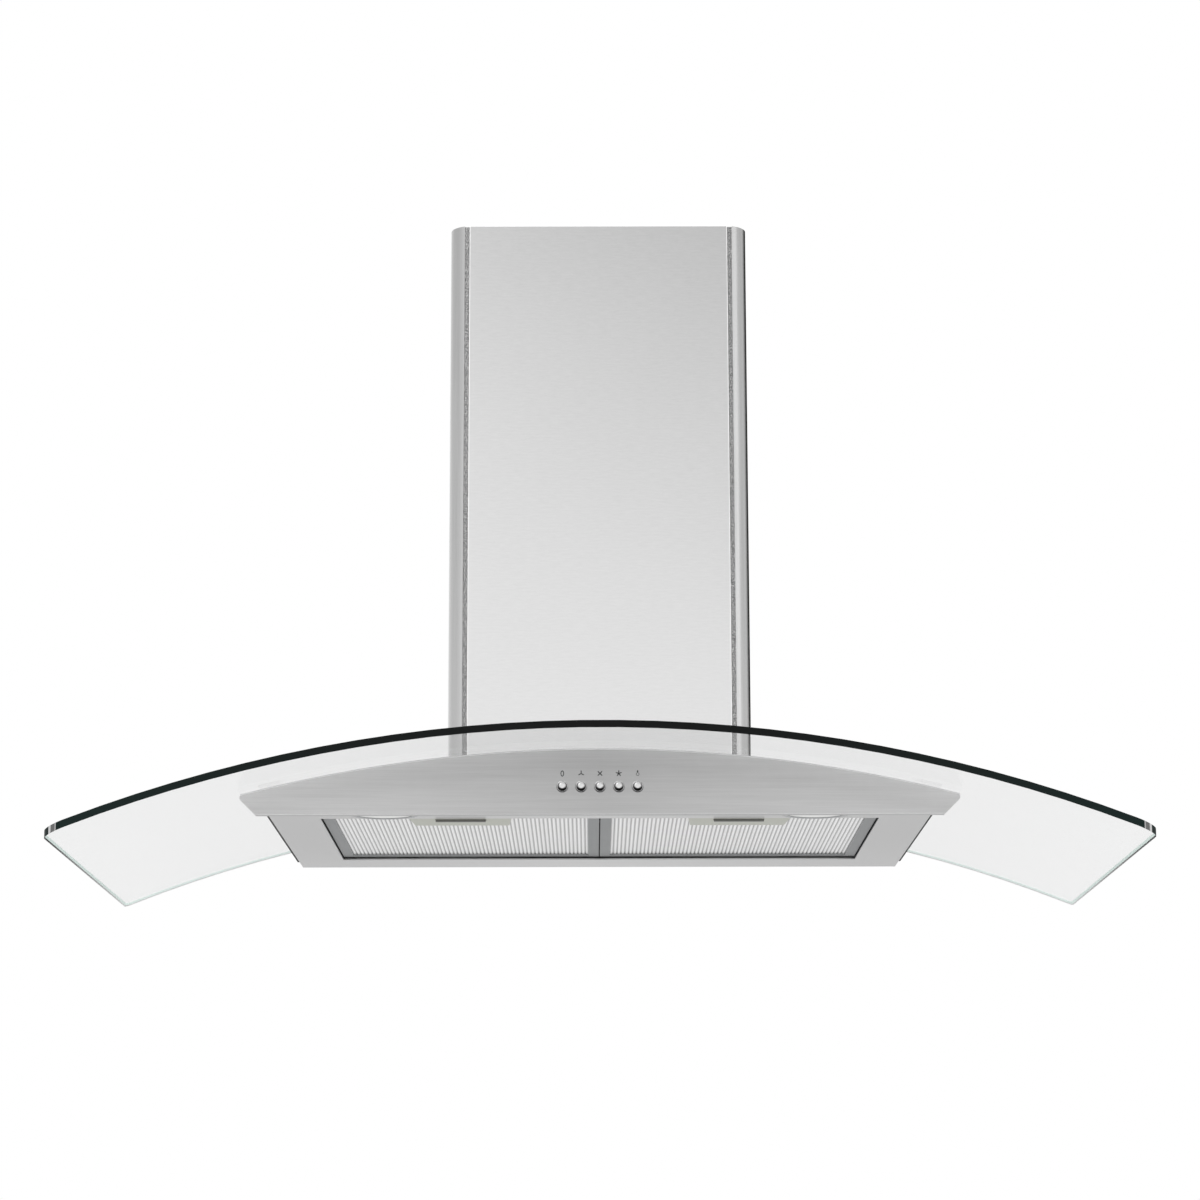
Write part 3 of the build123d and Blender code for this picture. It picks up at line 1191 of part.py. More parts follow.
button_parts = []
for x in BUTTON_XS:
    with BuildPart() as button:
        with BuildSketch(facing(PANEL_FRONT_Y)):
            with Locations((x, BUTTON_Z)):
                Circle(BUTTON_RADIUS)
        extrude(amount=BUTTON_PROUD + BUTTON_DOME)
        rim = button.edges().filter_by(GeomType.CIRCLE).sort_by(Axis.Y)[0]
        fillet(rim, radius=BUTTON_ROUND)
        with BuildSketch(facing(PANEL_FRONT_Y + STEM_LENGTH)):
            with Locations((x, BUTTON_Z)):
                Circle(STEM_RADIUS)
        extrude(amount=STEM_LENGTH)
    button_parts.append(button.part)
for number, part in enumerate(button_parts, start=1):
    save(part, f"button_{number}")

STEM_BORE = STEM_RADIUS + RUN_GAP
STEM_DEPTH = STEM_LENGTH - TRIM_SHEET - SHEET + BUTTON_TRAVEL + RUN_GAP
with BuildPart() as switch_block:
    with BuildSketch(facing(SHELL_FRONT_INNER_Y + SWITCH_DEPTH)):
        with Locations((0, SWITCH_LOW_Z)):
            Rectangle(2 * SWITCH_HALF_WIDTH, SWITCH_HEIGHT, align=(Align.CENTER, Align.MIN))
    extrude(amount=SWITCH_DEPTH)
    with BuildSketch(facing(SHELL_FRONT_INNER_Y + SWITCH_EAR_THICKNESS)):
        with Locations((0, SWITCH_LOW_Z)):
            Rectangle(
                2 * (SWITCH_HALF_WIDTH + SWITCH_EAR),
                SWITCH_HEIGHT,
                align=(Align.CENTER, Align.MIN),
            )
        for s in (-1, 1):
            with Locations(
                (s * (SWITCH_HALF_WIDTH + SWITCH_EAR / 2), SWITCH_LOW_Z + SWITCH_HEIGHT / 2)
            ):
                Circle(SWITCH_SCREW_RADIUS, mode=Mode.SUBTRACT)
    extrude(amount=SWITCH_EAR_THICKNESS)
    with BuildSketch(facing(SHELL_FRONT_INNER_Y + SWITCH_RECESS_DEPTH)):
        for x in BUTTON_XS:
            with Locations((x, BUTTON_Z)):
                Circle(BUTTON_RADIUS + 2 * RUN_GAP)
    extrude(amount=SWITCH_RECESS_DEPTH, mode=Mode.SUBTRACT)
    with BuildSketch(facing(SHELL_FRONT_INNER_Y + STEM_DEPTH)):
        for x in BUTTON_XS:
            with Locations((x, BUTTON_Z)):
                Circle(STEM_BORE)
    extrude(amount=STEM_DEPTH, mode=Mode.SUBTRACT)
save(switch_block.part, "switch_block")

with BuildPart() as switch_screws:
    for s in (-1, 1):
        place = (s * (SWITCH_HALF_WIDTH + SWITCH_EAR / 2), SWITCH_LOW_Z + SWITCH_HEIGHT / 2)
        with BuildSketch(facing(SHELL_FRONT_INNER_Y + SWITCH_EAR_THICKNESS)):
            with Locations(place):
                Circle(SWITCH_SCREW_RADIUS)
        extrude(amount=SWITCH_EAR_THICKNESS + SHEET)
        with BuildSketch(
            facing(SHELL_FRONT_INNER_Y + SWITCH_EAR_THICKNESS + SWITCH_SCREW_HEAD)
        ):
            with Locations(place):
                Circle(SWITCH_SCREW_HEAD_RADIUS)
        extrude(amount=SWITCH_SCREW_HEAD)
save(switch_screws.part, "switch_screws")

# ---------------------------------------------------------------- filters
with BuildPart() as filter_frame_right:
    with BuildSketch(level(FILTER_BASE_Z)):
        with Locations((FILTER_MID_X, FILTER_MID_Y)):
            Rectangle(FILTER_WIDTH, FILTER_DEPTH)
            Rectangle(
                FILTER_WIDTH - 2 * FILTER_BAND, FILTER_DEPTH - 2 * FILTER_BAND, mode=Mode.SUBTRACT
            )
    extrude(amount=FILTER_HEIGHT)
    # A channel all round the inside holds the mesh pack.
    with BuildSketch(level(FILTER_BASE_Z + FILTER_WALL)):
        with Locations((FILTER_MID_X, FILTER_MID_Y)):
            Rectangle(FILTER_WIDTH - 2 * FILTER_WALL, FILTER_DEPTH - 2 * FILTER_WALL)
    extrude(amount=FILTER_HEIGHT - 2 * FILTER_WALL, mode=Mode.SUBTRACT)
    # Two tabs rest above the opening's rear edge.
    with BuildSketch(level(TAB_Z)):
        for s in (-1, 1):
            with Locations((FILTER_MID_X + s * TAB_SPREAD / 2, FILTER_REAR_Y - FILTER_WALL)):
                Rectangle(
                    TAB_WIDTH, TAB_REACH + FILTER_WALL, align=(Align.CENTER, Align.MIN)
                )
    extrude(amount=TAB_THICKNESS)
save(filter_frame_right.part, "filter_frame_right")

with BuildPart() as filter_frame_left:
    mirror(filter_frame_right.part, about=Plane.YZ)
save(filter_frame_left.part, "filter_frame_left")

MESH_LOW_Z = FILTER_BASE_Z + FILTER_WALL + FILTER_SLOT_GAP
MESH_HIGH_Z = FILTER_BASE_Z + FILTER_HEIGHT - FILTER_WALL - FILTER_SLOT_GAP
MESH_HALF_WIDTH = FILTER_WIDTH / 2 - FILTER_WALL - FILTER_SLOT_GAP
with BuildPart() as filter_mesh_right:
    fold_count = int(2 * MESH_HALF_WIDTH / MESH_PITCH)
    fold_start = FILTER_MID_X - fold_count * MESH_PITCH / 2
    rise = MESH_HIGH_Z - MESH_LOW_Z - MESH_THICKNESS
    lower = [
        (fold_start + i * MESH_PITCH / 2, MESH_LOW_Z + (i % 2) * rise)
        for i in range(2 * fold_count + 1)
    ]
    upper = [(x, z + MESH_THICKNESS) for x, z in reversed(lower)]
    with BuildSketch(facing(FILTER_REAR_Y - FILTER_WALL - FILTER_SLOT_GAP)):
        with BuildLine():
            Polyline(*lower, *upper, close=True)
        make_face()
    extrude(amount=FILTER_DEPTH - 2 * FILTER_WALL - 2 * FILTER_SLOT_GAP)
save(filter_mesh_right.part, "filter_mesh_right")

with BuildPart() as filter_mesh_left:
    mirror(filter_mesh_right.part, about=Plane.YZ)
save(filter_mesh_left.part, "filter_mesh_left")

LATCH_LOW_Z = FILTER_BASE_Z - LATCH_PLATE_THICKNESS
POCKET_LOW_Z = LATCH_LOW_Z + LATCH_FLOOR
RIDGE_REAR_Y = LATCH_FRONT_Y + LATCH_RIDGE_INSET + LATCH_RIDGE_DEPTH
with BuildPart() as latch_plate_right:
    with BuildSketch(level(LATCH_LOW_Z)):
        with BuildLine():
            Polyline(
                (FILTER_MID_X - LATCH_PLATE_FRONT / 2, FILTER_FRONT_Y),
                (FILTER_MID_X + LATCH_PLATE_FRONT / 2, FILTER_FRONT_Y),
                (FILTER_MID_X + LATCH_PLATE_REAR / 2, FILTER_FRONT_Y + LATCH_PLATE_DEPTH),
                (FILTER_MID_X - LATCH_PLATE_REAR / 2, FILTER_FRONT_Y + LATCH_PLATE_DEPTH),
                close=True,
            )
        make_face()
    extrude(amount=LATCH_PLATE_THICKNESS)
    with BuildSketch(level(POCKET_LOW_Z)):
        with Locations((FILTER_MID_X, FILTER_FRONT_Y)):
            Rectangle(
                2 * (LATCH_HALF_WIDTH + RUN_GAP),
                LATCH_DEPTH + LATCH_TRAVEL + RUN_GAP,
                align=(Align.CENTER, Align.MIN),
            )
    extrude(amount=LATCH_PLATE_THICKNESS - LATCH_FLOOR, mode=Mode.SUBTRACT)
    with BuildSketch(level(LATCH_LOW_Z)):
        with Locations((FILTER_MID_X, LATCH_FRONT_Y + LATCH_RIDGE_INSET - RUN_GAP)):
            Rectangle(
                2 * (LATCH_RIDGE_HALF_WIDTH + RUN_GAP),
                LATCH_RIDGE_DEPTH + LATCH_TRAVEL + 2 * RUN_GAP,
                align=(Align.CENTER, Align.MIN),
            )
    extrude(amount=LATCH_FLOOR, mode=Mode.SUBTRACT)
save(latch_plate_right.part, "latch_plate_right")

with BuildPart() as latch_plate_left:
    mirror(latch_plate_right.part, about=Plane.YZ)
save(latch_plate_left.part, "latch_plate_left")

with BuildPart() as latch_right:
    with BuildSketch(level(POCKET_LOW_Z + RUN_GAP)):
        with Locations((FILTER_MID_X, LATCH_FRONT_Y)):
            Rectangle(2 * LATCH_HALF_WIDTH, LATCH_DEPTH, align=(Align.CENTER, Align.MIN))
    extrude(amount=LATCH_THICKNESS)
    with BuildSketch(level(POCKET_LOW_Z + RUN_GAP)):
        with Locations((FILTER_MID_X, RIDGE_REAR_Y)):
            Rectangle(
                2 * LATCH_RIDGE_HALF_WIDTH, LATCH_RIDGE_DEPTH, align=(Align.CENTER, Align.MAX)
            )
    extrude(amount=-RUN_GAP - LATCH_FLOOR - LATCH_RIDGE_DROP)
save(latch_right.part, "latch_right")

with BuildPart() as latch_left:
    mirror(latch_right.part, about=Plane.YZ)
save(latch_left.part, "latch_left")
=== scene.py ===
"""Looks of the curved glass range hood: its finishes, fine trim, studio and camera."""

from math import cos, pi, radians, sin

import bpy
from mathutils import Matrix, Vector
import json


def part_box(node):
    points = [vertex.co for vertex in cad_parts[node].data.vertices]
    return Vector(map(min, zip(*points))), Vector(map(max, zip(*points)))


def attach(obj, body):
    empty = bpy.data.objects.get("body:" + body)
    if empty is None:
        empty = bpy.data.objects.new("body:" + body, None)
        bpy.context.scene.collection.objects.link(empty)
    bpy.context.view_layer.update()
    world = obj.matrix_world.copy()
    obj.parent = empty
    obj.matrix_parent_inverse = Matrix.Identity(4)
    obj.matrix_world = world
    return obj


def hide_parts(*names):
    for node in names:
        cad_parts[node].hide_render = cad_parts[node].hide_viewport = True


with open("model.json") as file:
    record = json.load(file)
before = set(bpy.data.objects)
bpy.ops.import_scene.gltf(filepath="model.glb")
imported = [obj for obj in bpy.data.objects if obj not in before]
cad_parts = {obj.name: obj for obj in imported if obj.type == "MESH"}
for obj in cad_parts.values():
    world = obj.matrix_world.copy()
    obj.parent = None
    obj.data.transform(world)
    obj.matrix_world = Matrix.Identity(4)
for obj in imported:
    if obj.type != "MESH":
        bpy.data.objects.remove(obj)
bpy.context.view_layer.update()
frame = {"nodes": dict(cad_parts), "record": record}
nodes = frame["nodes"]
scene = bpy.context.scene

BODIES = frame["record"]["behaviour"]["bodies"]
BODY_OF = {node: body for body, held in BODIES.items() for node in held}
SLOT_OF = {part["node"]: part["material_slot"] for part in frame["record"]["subparts"]}
SIDES = ("left", "right")
BUTTONS = [f"button_{number}" for number in range(1, 6)]


def middle_of(node):
    """The middle of a CAD node's box."""
    low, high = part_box(node)
    return (low + high) / 2


# ---------------------------------------------------------------- measures, in metres
GLASS_LOW, GLASS_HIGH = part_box("glass_canopy")
GLASS_THICKNESS = 0.006
ARCH_RISE = GLASS_HIGH.z - GLASS_THICKNESS - GLASS_LOW.z
ARCH_RADIUS = (GLASS_HIGH.x**2 + ARCH_RISE**2) / (2 * ARCH_RISE)  # of the glass's lower face
ARCH_CENTRE_Z = GLASS_HIGH.z - GLASS_THICKNESS - ARCH_RADIUS

RIM_REACH = 0.019  # how far in from the outline the faces of the rounded corners lie
FRONT_LEAN = -0.1  # a face of the glass belongs to its front where its normal's Y is below this
FRONT_RIM_LEVEL, OTHER_RIM_LEVEL = 0.6, 0.5  # a rim's normals are more level than this
RIM_LINE = 0.0024  # height of the painted dark line along the pale rim's lower edge
RIM_PALES_FROM = -0.47  # the rim is painted paler from here to the back, as light
PAINTED_GLINTS_END = -0.40  # how far back the painted light patches at the front corners reach
PAINTED_CORNER_GLINTS = (  # painted light patches: nearest to and farthest from the middle, and the tone between
    (0.4384, 0.4394, 0.55),
    (0.4394, 0.4429, 0.20),
    (0.4429, 0.4449, 0.80),
)

CHIMNEY_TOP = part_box("chimney_front")[1].z
PANEL_REACH = 0.30  # from the middle to where the front panel's painted reflection is lightest
GROOVE_INNER, GROOVE_OUTER = 0.1176, 0.1219  # from the middle to the sides of a column's groove
GROOVE_FRONT = -0.2485  # the groove lies behind this
BEND_END = -0.226  # how far back the columns' round corners get painted shade

STRIP_GIVE = 0.0002  # how far the strips and seals under the glass give way to it
ROUNDING = {  # of the sharp edges of each piece
    "front_panel": 0.0009,
    "chimney_front": 0.0013,
    "glass_canopy": 0.0006,
    "filter_frame": 0.0003,
    "latch_plate": 0.0005,
    "latch": 0.0003,
}

FOIL = 0.0003  # thickness of the filters' foil
PLEAT = 0.0036  # width of one pleat of the lower foil
PLEAT_RISE = 0.0018  # height of the lower foil's pleats
UPPER_FOIL_LIFT = 0.0026  # from the lower foil's bottom to the upper foil's
UPPER_FOIL_FOLDS = 0.6  # folds in a length, for each fold of the lower foil

PRINT_LIFT = 0.00006  # thickness of the printed symbols
SYMBOL_Z = 0.0283  # height of the symbols' middles
SYMBOL_HALF = 0.0026  # half the height of a symbol
RING_HALF_WIDTH, RING_STROKE = 0.0015, 0.0007
PETAL_MIDDLE = SYMBOL_HALF * 0.52  # from the fan's middle to a blade's
PETAL_HALF_WIDTH, PETAL_HALF_LENGTH = 0.00046, SYMBOL_HALF * 0.56
BULB_RADIUS, BULB_STROKE = 0.0014, 0.0004
BULB_DROP = 0.0006  # from the symbol's middle down to the bulb's
FOOT_HALF_WIDTH, FOOT_HALF_HEIGHT = 0.0007, 0.0009
FOOT_RISE = 0.0018  # from the symbol's middle up to the foot's

FLOOR_SIZE, FLOOR_Z = 64, -3.6


# ---------------------------------------------------------------- shader wiring
class Wire:
    """A shader socket that can be used in sums."""

    def __init__(self, tree, socket):
        self.tree, self.socket = tree, socket

    def maths(self, operation, first, second=0.0):
        settings = {"operation": operation}
        return self.tree.add("ShaderNodeMath", settings, {0: first, 1: second})["Value"]

    def __add__(self, other):
        return self.maths("ADD", self, other)

    __radd__ = __add__

    def __sub__(self, other):
        return self.maths("SUBTRACT", self, other)

    def __rsub__(self, other):
        return self.maths("SUBTRACT", other, self)

    def __mul__(self, other):
        return self.maths("MULTIPLY", self, other)

    __rmul__ = __mul__

    def __pow__(self, other):
        return self.maths("POWER", self, other)

    def __gt__(self, other):
        return self.maths("GREATER_THAN", self, other)

    def __lt__(self, other):
        return self.maths("LESS_THAN", self, other)

    def __abs__(self):
        return self.maths("ABSOLUTE", self)

    def sine(self):
        return self.maths("SINE", self)


class Tree:
    """A node tree, emptied, to which nodes are added one call at a time.

    A colour is a wire, or its red, green and blue.
    """

    def __init__(self, owner):
        owner.use_nodes = True
        self.owner, self.tree = owner, owner.node_tree
        self.tree.nodes.clear()

    def add(self, kind, settings=None, inputs=None):
        """Adds a node with its settings and inputs, and returns its outputs by name."""
        node = self.tree.nodes.new(kind)
        for key, value in (settings or {}).items():
            if key == "stops":
                fill_ramp(node.color_ramp, value)
            else:
                setattr(node, key, value)
        for key, value in (inputs or {}).items():
            if isinstance(key, int):
                socket = node.inputs[key]
            else:
                socket = next(s for s in node.inputs if s.name == key and s.enabled)
            if isinstance(value, Wire):
                self.tree.links.new(value.socket, socket)
            elif socket.type == "RGBA":
                socket.default_value = (*value, 1.0)
            else:
                socket.default_value = value
        return {s.name: Wire(self, s) for s in node.outputs if s.enabled}

    def place(self):
        return self.add("ShaderNodeTexCoord")["Object"]

    def facing(self):
        """X, Y and Z of the way that the surface faces."""
        return self.parts(self.add("ShaderNodeTexCoord")["Normal"])

    def parts(self, vector):
        return self.add("ShaderNodeSeparateXYZ", {}, {"Vector": vector})

    def scaled(self, vector, scale):
        return self.add("ShaderNodeMapping", {}, {"Vector": vector, "Scale": scale})["Vector"]

    def noise(self, vector, scale, detail=2.0):
        """Noise from 0 to 1 around 0.5."""
        values = {"Vector": vector, "Scale": scale, "Detail": detail}
        return self.add("ShaderNodeTexNoise", {}, values)["Fac"]

    def grain(self, vector, stretch, detail=2.0):
        """Noise that is stretched along the axis with the smallest number."""
        return self.noise(self.scaled(vector, stretch), scale=1.0, detail=detail)

    def cells(self, scale):
        return self.add("ShaderNodeTexVoronoi", {}, {"Vector": self.place(), "Scale": scale})

    def ramp(self, value, *stops):
        return self.add("ShaderNodeValToRGB", {"stops": stops}, {"Fac": value})["Color"]

    def between(self, factor, first, second, how="MIX"):
        """A colour between two colours."""
        settings = {"data_type": "RGBA", "blend_type": how}
        values = {"Factor": factor, "A": first, "B": second}
        return self.add("ShaderNodeMix", settings, values)["Result"]

    def clamped(self, value):
        return self.add("ShaderNodeClamp", {}, {"Value": value})["Result"]

    def rising(self, value, start, slope):
        """0 up to the start, then rising to 1."""
        return self.clamped((value - start) * slope)

    def bump(self, height, strength, distance):
        values = {"Height": height, "Strength": strength, "Distance": distance}
        return self.add("ShaderNodeBump", {}, values)["Normal"]


def fill_ramp(ramp, stops):
    while len(ramp.elements) < len(stops):
        ramp.elements.new(0.5)
    for element, (position, colour) in zip(ramp.elements, stops):
        element.position, element.color = position, (*colour, 1.0)


def grey(value):
    return (value, value, value)


def new_finish(name):
    return Tree(bpy.data.materials.new(name))


def finished(tree, **inputs):
    """Closes a material with its surface shader and returns the material."""
    values = {key.replace("_", " "): value for key, value in inputs.items()}
    surface = tree.add("ShaderNodeBsdfPrincipled", {}, values)["BSDF"]
    tree.add("ShaderNodeOutputMaterial", {}, {"Surface": surface})
    return tree.owner


# ---------------------------------------------------------------- metal finishes
GRAIN = {  # how noise is stretched for the streaks and hairs of each way of brushing
    "x": ((9, 420, 420), (30, 1500, 1500)),
    "short": ((90, 620, 620), (260, 1700, 1700)),
    "z": ((420, 420, 9), (1500, 1500, 30)),
}


def painted_groove_shade(tree, place, colour):
    """Paints speckled shade into a column's groove, and paints shade on the right of the bend
    beside it.
    """
    spot, facing = tree.parts(place), tree.facing()
    across = abs(spot["X"])
    # painted shade in the groove
    inside = (across > GROOVE_INNER) * (across < GROOVE_OUTER) * (spot["Y"] > GROOVE_FRONT)
    speckle = tree.clamped(tree.noise(place, scale=1100.0, detail=3.0) * 2.6 - 0.55)
    colour = tree.between(inside * speckle, colour, grey(0.14))
    # painted shade along the right of the bend
    bend_shade_mask = tree.rising(facing["X"], start=0.82, slope=7.0)
    by_bend = tree.clamped((BEND_END - spot["Y"]) * 120.0)
    return tree.between(bend_shade_mask * by_bend, colour, grey(0.12))


def brushed_steel(name, tone, along, rough, contrast, groove=False, fade=None):
    """Brushed sheet steel, its grain along x or z, or in short strokes along x.

    A fade is the axis, the distance from the origin over which the tone changes, and the tone
    that it reaches there.
    """
    tree = new_finish(name)
    place = tree.place()
    streaks, hairs = GRAIN[along]
    streak = tree.grain(place, streaks, detail=3.0)
    hair = tree.grain(place, hairs)
    cloud = tree.noise(place, scale=7.0)
    shade = streak * 0.5 + hair * 0.35 + cloud * 0.15

    def shaded(level):
        """The grain's shades around a tone."""
        dark, light = level * (1 - 3 * contrast), level * (1 + 3 * contrast)
        return tree.between(shade, grey(dark), grey(min(1.0, light)))

    colour = shaded(tone)
    if fade:
        axis, reach, last = fade
        far = tree.clamped(abs(tree.parts(place)[axis]) * (1 / reach))
        colour = tree.between(far, colour, shaded(last))
    # painted shade in a column's groove and on its bend
    if groove:
        colour = painted_groove_shade(tree, place, colour)
    return finished(
        tree,
        Base_Color=colour,
        Metallic=1.0,
        Roughness=rough - 0.06 + streak * 0.08 + cloud * 0.04,
        Anisotropic=0.5,
        Normal=tree.bump(streak * 0.4 + hair * 0.6, strength=0.12, distance=0.00006),
    )


def painted_edge_finish(name):
    """A bend in sheet steel, polished by the tool that made it, with a painted highlight: its
    colour is near white and it glows, though it is no lamp.
    """
    tree = new_finish(name)
    highlight_speckle = tree.noise(tree.place(), scale=700.0, detail=3.0)
    return finished(
        tree,
        Base_Color=tree.between(highlight_speckle, grey(0.90), grey(1.0)),
        Metallic=0.7,
        Roughness=0.16 + highlight_speckle * 0.1,
        # painted highlight: the bend glows
        Emission_Color=grey(1.0),
        Emission_Strength=0.5,
    )


def plated(name):
    """Zinc plating of the fasteners, with a faint cloudy passivation."""
    tree = new_finish(name)
    cloud = tree.noise(tree.place(), scale=260.0, detail=3.0)
    pits = tree.noise(tree.place(), scale=1900.0)
    return finished(
        tree,
        Base_Color=tree.between(cloud, (0.4920, 0.5002, 0.5166), (0.60, 0.61, 0.63)),
        Metallic=1.0,
        Roughness=0.27 + cloud * 0.12,
        Normal=tree.bump(pits, strength=0.1, distance=0.00005),
    )


def galvanised(name):
    """Hot-dipped sheet with its spangle."""
    tree = new_finish(name)
    facet = tree.parts(tree.cells(scale=110.0)["Color"])["X"]
    cloud = tree.noise(tree.place(), scale=30.0, detail=3.0)
    shade = facet * 0.6 + cloud * 0.4
    return finished(
        tree,
        Base_Color=tree.between(shade, (0.42, 0.44, 0.46), (0.66, 0.67, 0.69)),
        Metallic=1.0,
        Roughness=0.34 + facet * 0.16,
        Normal=tree.bump(facet, strength=0.08, distance=0.0001),
    )


def chrome(name):
    """Polished chrome with a trace of haze."""
    tree = new_finish(name)
    haze = tree.noise(tree.place(), scale=420.0, detail=3.0)
    return finished(
        tree,
        Base_Color=tree.between(haze, (0.30, 0.31, 0.32), (0.38, 0.39, 0.40)),
        Metallic=1.0,
        Roughness=0.05 + haze * 0.06,
    )


def chrome_painted_reflection(name):
    """Polished chrome of the buttons with a painted reflection: dark on its sides and below,
    brightest where it faces level, as if it mirrored the room.
    """
    tree = new_finish(name)
    facing = tree.facing()
    haze = tree.noise(tree.place(), scale=420.0, detail=3.0)
    # painted reflection, by which way the surface faces
    painted_mirror_ramp = tree.ramp(
        facing["Z"] * 0.5 + 0.5,
        (0.00, grey(0.01)),
        (0.33, grey(0.02)),
        (0.43, grey(0.40)),
        (0.52, grey(0.92)),
        (0.80, grey(0.80)),
        (1.00, grey(0.45)),
    )
    # painted dark reflection on the sides
    sides = tree.clamped(abs(facing["X"]) * 2.6 - 1.1)
    return finished(
        tree,
        Base_Color=tree.between(sides * 0.75 + haze * 0.05, painted_mirror_ramp, grey(0.06)),
        Metallic=1.0,
        Roughness=0.05 + haze * 0.06,
    )


def mesh_aluminium(name, low_z):
    """Expanded aluminium mesh: rows of small diamond holes, painted darker as the shade seen
    through them; the folds are painted darker inside as shade, the upper foil is painted darker as
    shade, and the mesh has a painted glow, though it is no lamp.

    The height in the lower foil runs from 0 to 1, and what lies above it is the upper foil.
    """
    tree = new_finish(name)
    spot = tree.parts(tree.place())
    across, along = spot["X"] * 560.0, spot["Y"] * 400.0
    diamonds = abs((across + along).sine()) * abs((across - along).sine())
    hole = diamonds > 0.5
    height = (spot["Z"] - low_z) * (1 / PLEAT_RISE)
    # painted shade deep in the lower foil's folds, and over the upper foil
    lower = (height**1.8) * 1.25 * (height < 1.05)
    upper = (height > 1.05) * 0.4
    cloud = tree.noise(tree.place(), scale=60.0, detail=3.0)
    bright = tree.between(cloud, grey(0.92), grey(1.0))
    fold_painted_shade = tree.between(tree.clamped(lower + upper), bright, grey(0.03))
    # painted shade in the holes
    colour = tree.between(hole * 0.30, fold_painted_shade, grey(0.30))
    return finished(
        tree,
        Base_Color=colour,
        # painted glow
        Emission_Color=colour,
        Emission_Strength=0.26,
        Metallic=0.2 - hole * 0.1,
        Roughness=0.36 + cloud * 0.14,
        Normal=tree.bump(diamonds, strength=0.2, distance=0.0002),
    )


def frame_aluminium(name):
    """Rolled aluminium of the filter frames, its grain mostly along y."""
    tree = new_finish(name)
    place = tree.place()
    grain = tree.grain(place, (380, 22, 380), detail=3.0)
    cross = tree.grain(place, (22, 380, 380), detail=3.0)
    cloud = tree.noise(place, scale=18.0)
    shade = grain * 0.35 + cross * 0.2 + cloud * 0.45
    return finished(
        tree,
        Base_Color=tree.between(shade, (0.29, 0.30, 0.305), (0.40, 0.41, 0.415)),
        Metallic=1.0,
        Roughness=0.34 + grain * 0.12,
        Normal=tree.bump(grain, strength=0.12, distance=0.00008),
    )


def enamel(name):
    """Satin black paint of the motor, faintly orange-peeled."""
    tree = new_finish(name)
    peel = tree.noise(tree.place(), scale=520.0)
    return finished(
        tree,
        Base_Color=tree.between(peel, (0.012, 0.013, 0.014), (0.03, 0.031, 0.033)),
        Roughness=0.32 + peel * 0.12,
        Coat_Weight=0.25 + peel * 0.1,
        Normal=tree.bump(peel, strength=0.15, distance=0.0002),
    )


# ---------------------------------------------------------------- glass finishes
def clear_glass(name):
    """Tempered glass, almost without reflections; its film of haze is barely seen."""
    tree = new_finish(name)
    film = tree.noise(tree.place(), scale=9.0)
    return finished(
        tree,
        Base_Color=tree.between(film, (0.978, 0.980, 0.980), (0.988, 0.990, 0.990)),
        Roughness=0.0,
        IOR=1.06,
        Transmission_Weight=1.0,
    )


def painted_paling(tree, spot):
    """How pale the glass's rim is painted, as light, from 0 in front to 1 at the back."""
    return tree.rising(spot["Y"], start=RIM_PALES_FROM, slope=2.2)


def painted_dark_rim(name):
    """The ground rim in front, painted dark green as the light that crosses the whole sheet to it,
    and painted paler towards the back.

    It is painted nearly black in the middle, and each front corner has a painted patch of light.
    """
    tree = new_finish(name)
    spot = tree.parts(tree.place())
    across = abs(spot["X"])
    along = tree.grain(tree.place(), (60, 60, 500), detail=3.0)
    middle = tree.between(along, (0.003, 0.003, 0.003), (0.008, 0.009, 0.009))
    ends = tree.between(along, (0.006, 0.015, 0.014), (0.013, 0.029, 0.026))
    pale = tree.between(along, (0.42, 0.47, 0.46), (0.56, 0.60, 0.59))
    front = tree.between(tree.clamped(across * across * 5.5), middle, ends)
    colour = tree.between(painted_paling(tree, spot), front, pale)
    # painted highlights at the front corners
    for inner, outer, tone in PAINTED_CORNER_GLINTS:
        here = (across > inner) * (across < outer) * (spot["Y"] < PAINTED_GLINTS_END)
        colour = tree.between(here, colour, grey(tone))
    return finished(
        tree, Base_Color=colour, Roughness=0.30 + along * 0.15, Specular_IOR_Level=0.12
    )


def painted_pale_rim(name):
    """The rim at the ends and the back: painted pale and glowing, as the light room seen through
    it, with a painted dark reflection along its lower edge.
    """
    tree = new_finish(name)
    spot = tree.parts(tree.place())
    ground = tree.noise(tree.place(), scale=240.0, detail=3.0)
    rise = spot["Z"] - ARCH_CENTRE_Z
    height = (spot["X"] * spot["X"] + rise * rise) ** 0.5 - ARCH_RADIUS
    pale = tree.between(ground, (0.66, 0.78, 0.74), (0.74, 0.85, 0.81))
    line = tree.between(painted_paling(tree, spot), grey(0.02), grey(0.60))
    colour = tree.between(height < RIM_LINE, pale, line)
    return finished(
        tree,
        Base_Color=colour,
        Roughness=0.35 + ground * 0.15,
        Specular_IOR_Level=0.12,
        # painted glow: the rim is no lamp
        Emission_Color=colour,
        Emission_Strength=0.42,
    )


def frosted_lens(name, centre):
    """Frosted lamp lens with concentric prisms."""
    tree = new_finish(name)
    spot = tree.parts(tree.place())
    across, along = spot["X"] - centre.x, spot["Y"] - centre.y
    radius = (across * across + along * along) ** 0.5
    prisms = (radius * 2400.0).sine() * 0.5 + 0.5
    frost = tree.noise(tree.place(), scale=1500.0)
    return finished(
        tree,
        Base_Color=tree.between(frost, (0.86, 0.87, 0.86), (0.95, 0.95, 0.94)),
        Roughness=0.28 + frost * 0.15,
        Coat_Weight=0.4 + frost * 0.1,
        Emission_Color=(1.0, 0.99, 0.96),
        Emission_Strength=0.2,
        Normal=tree.bump(prisms * 0.7 + frost * 0.3, strength=0.35, distance=0.0003),
    )


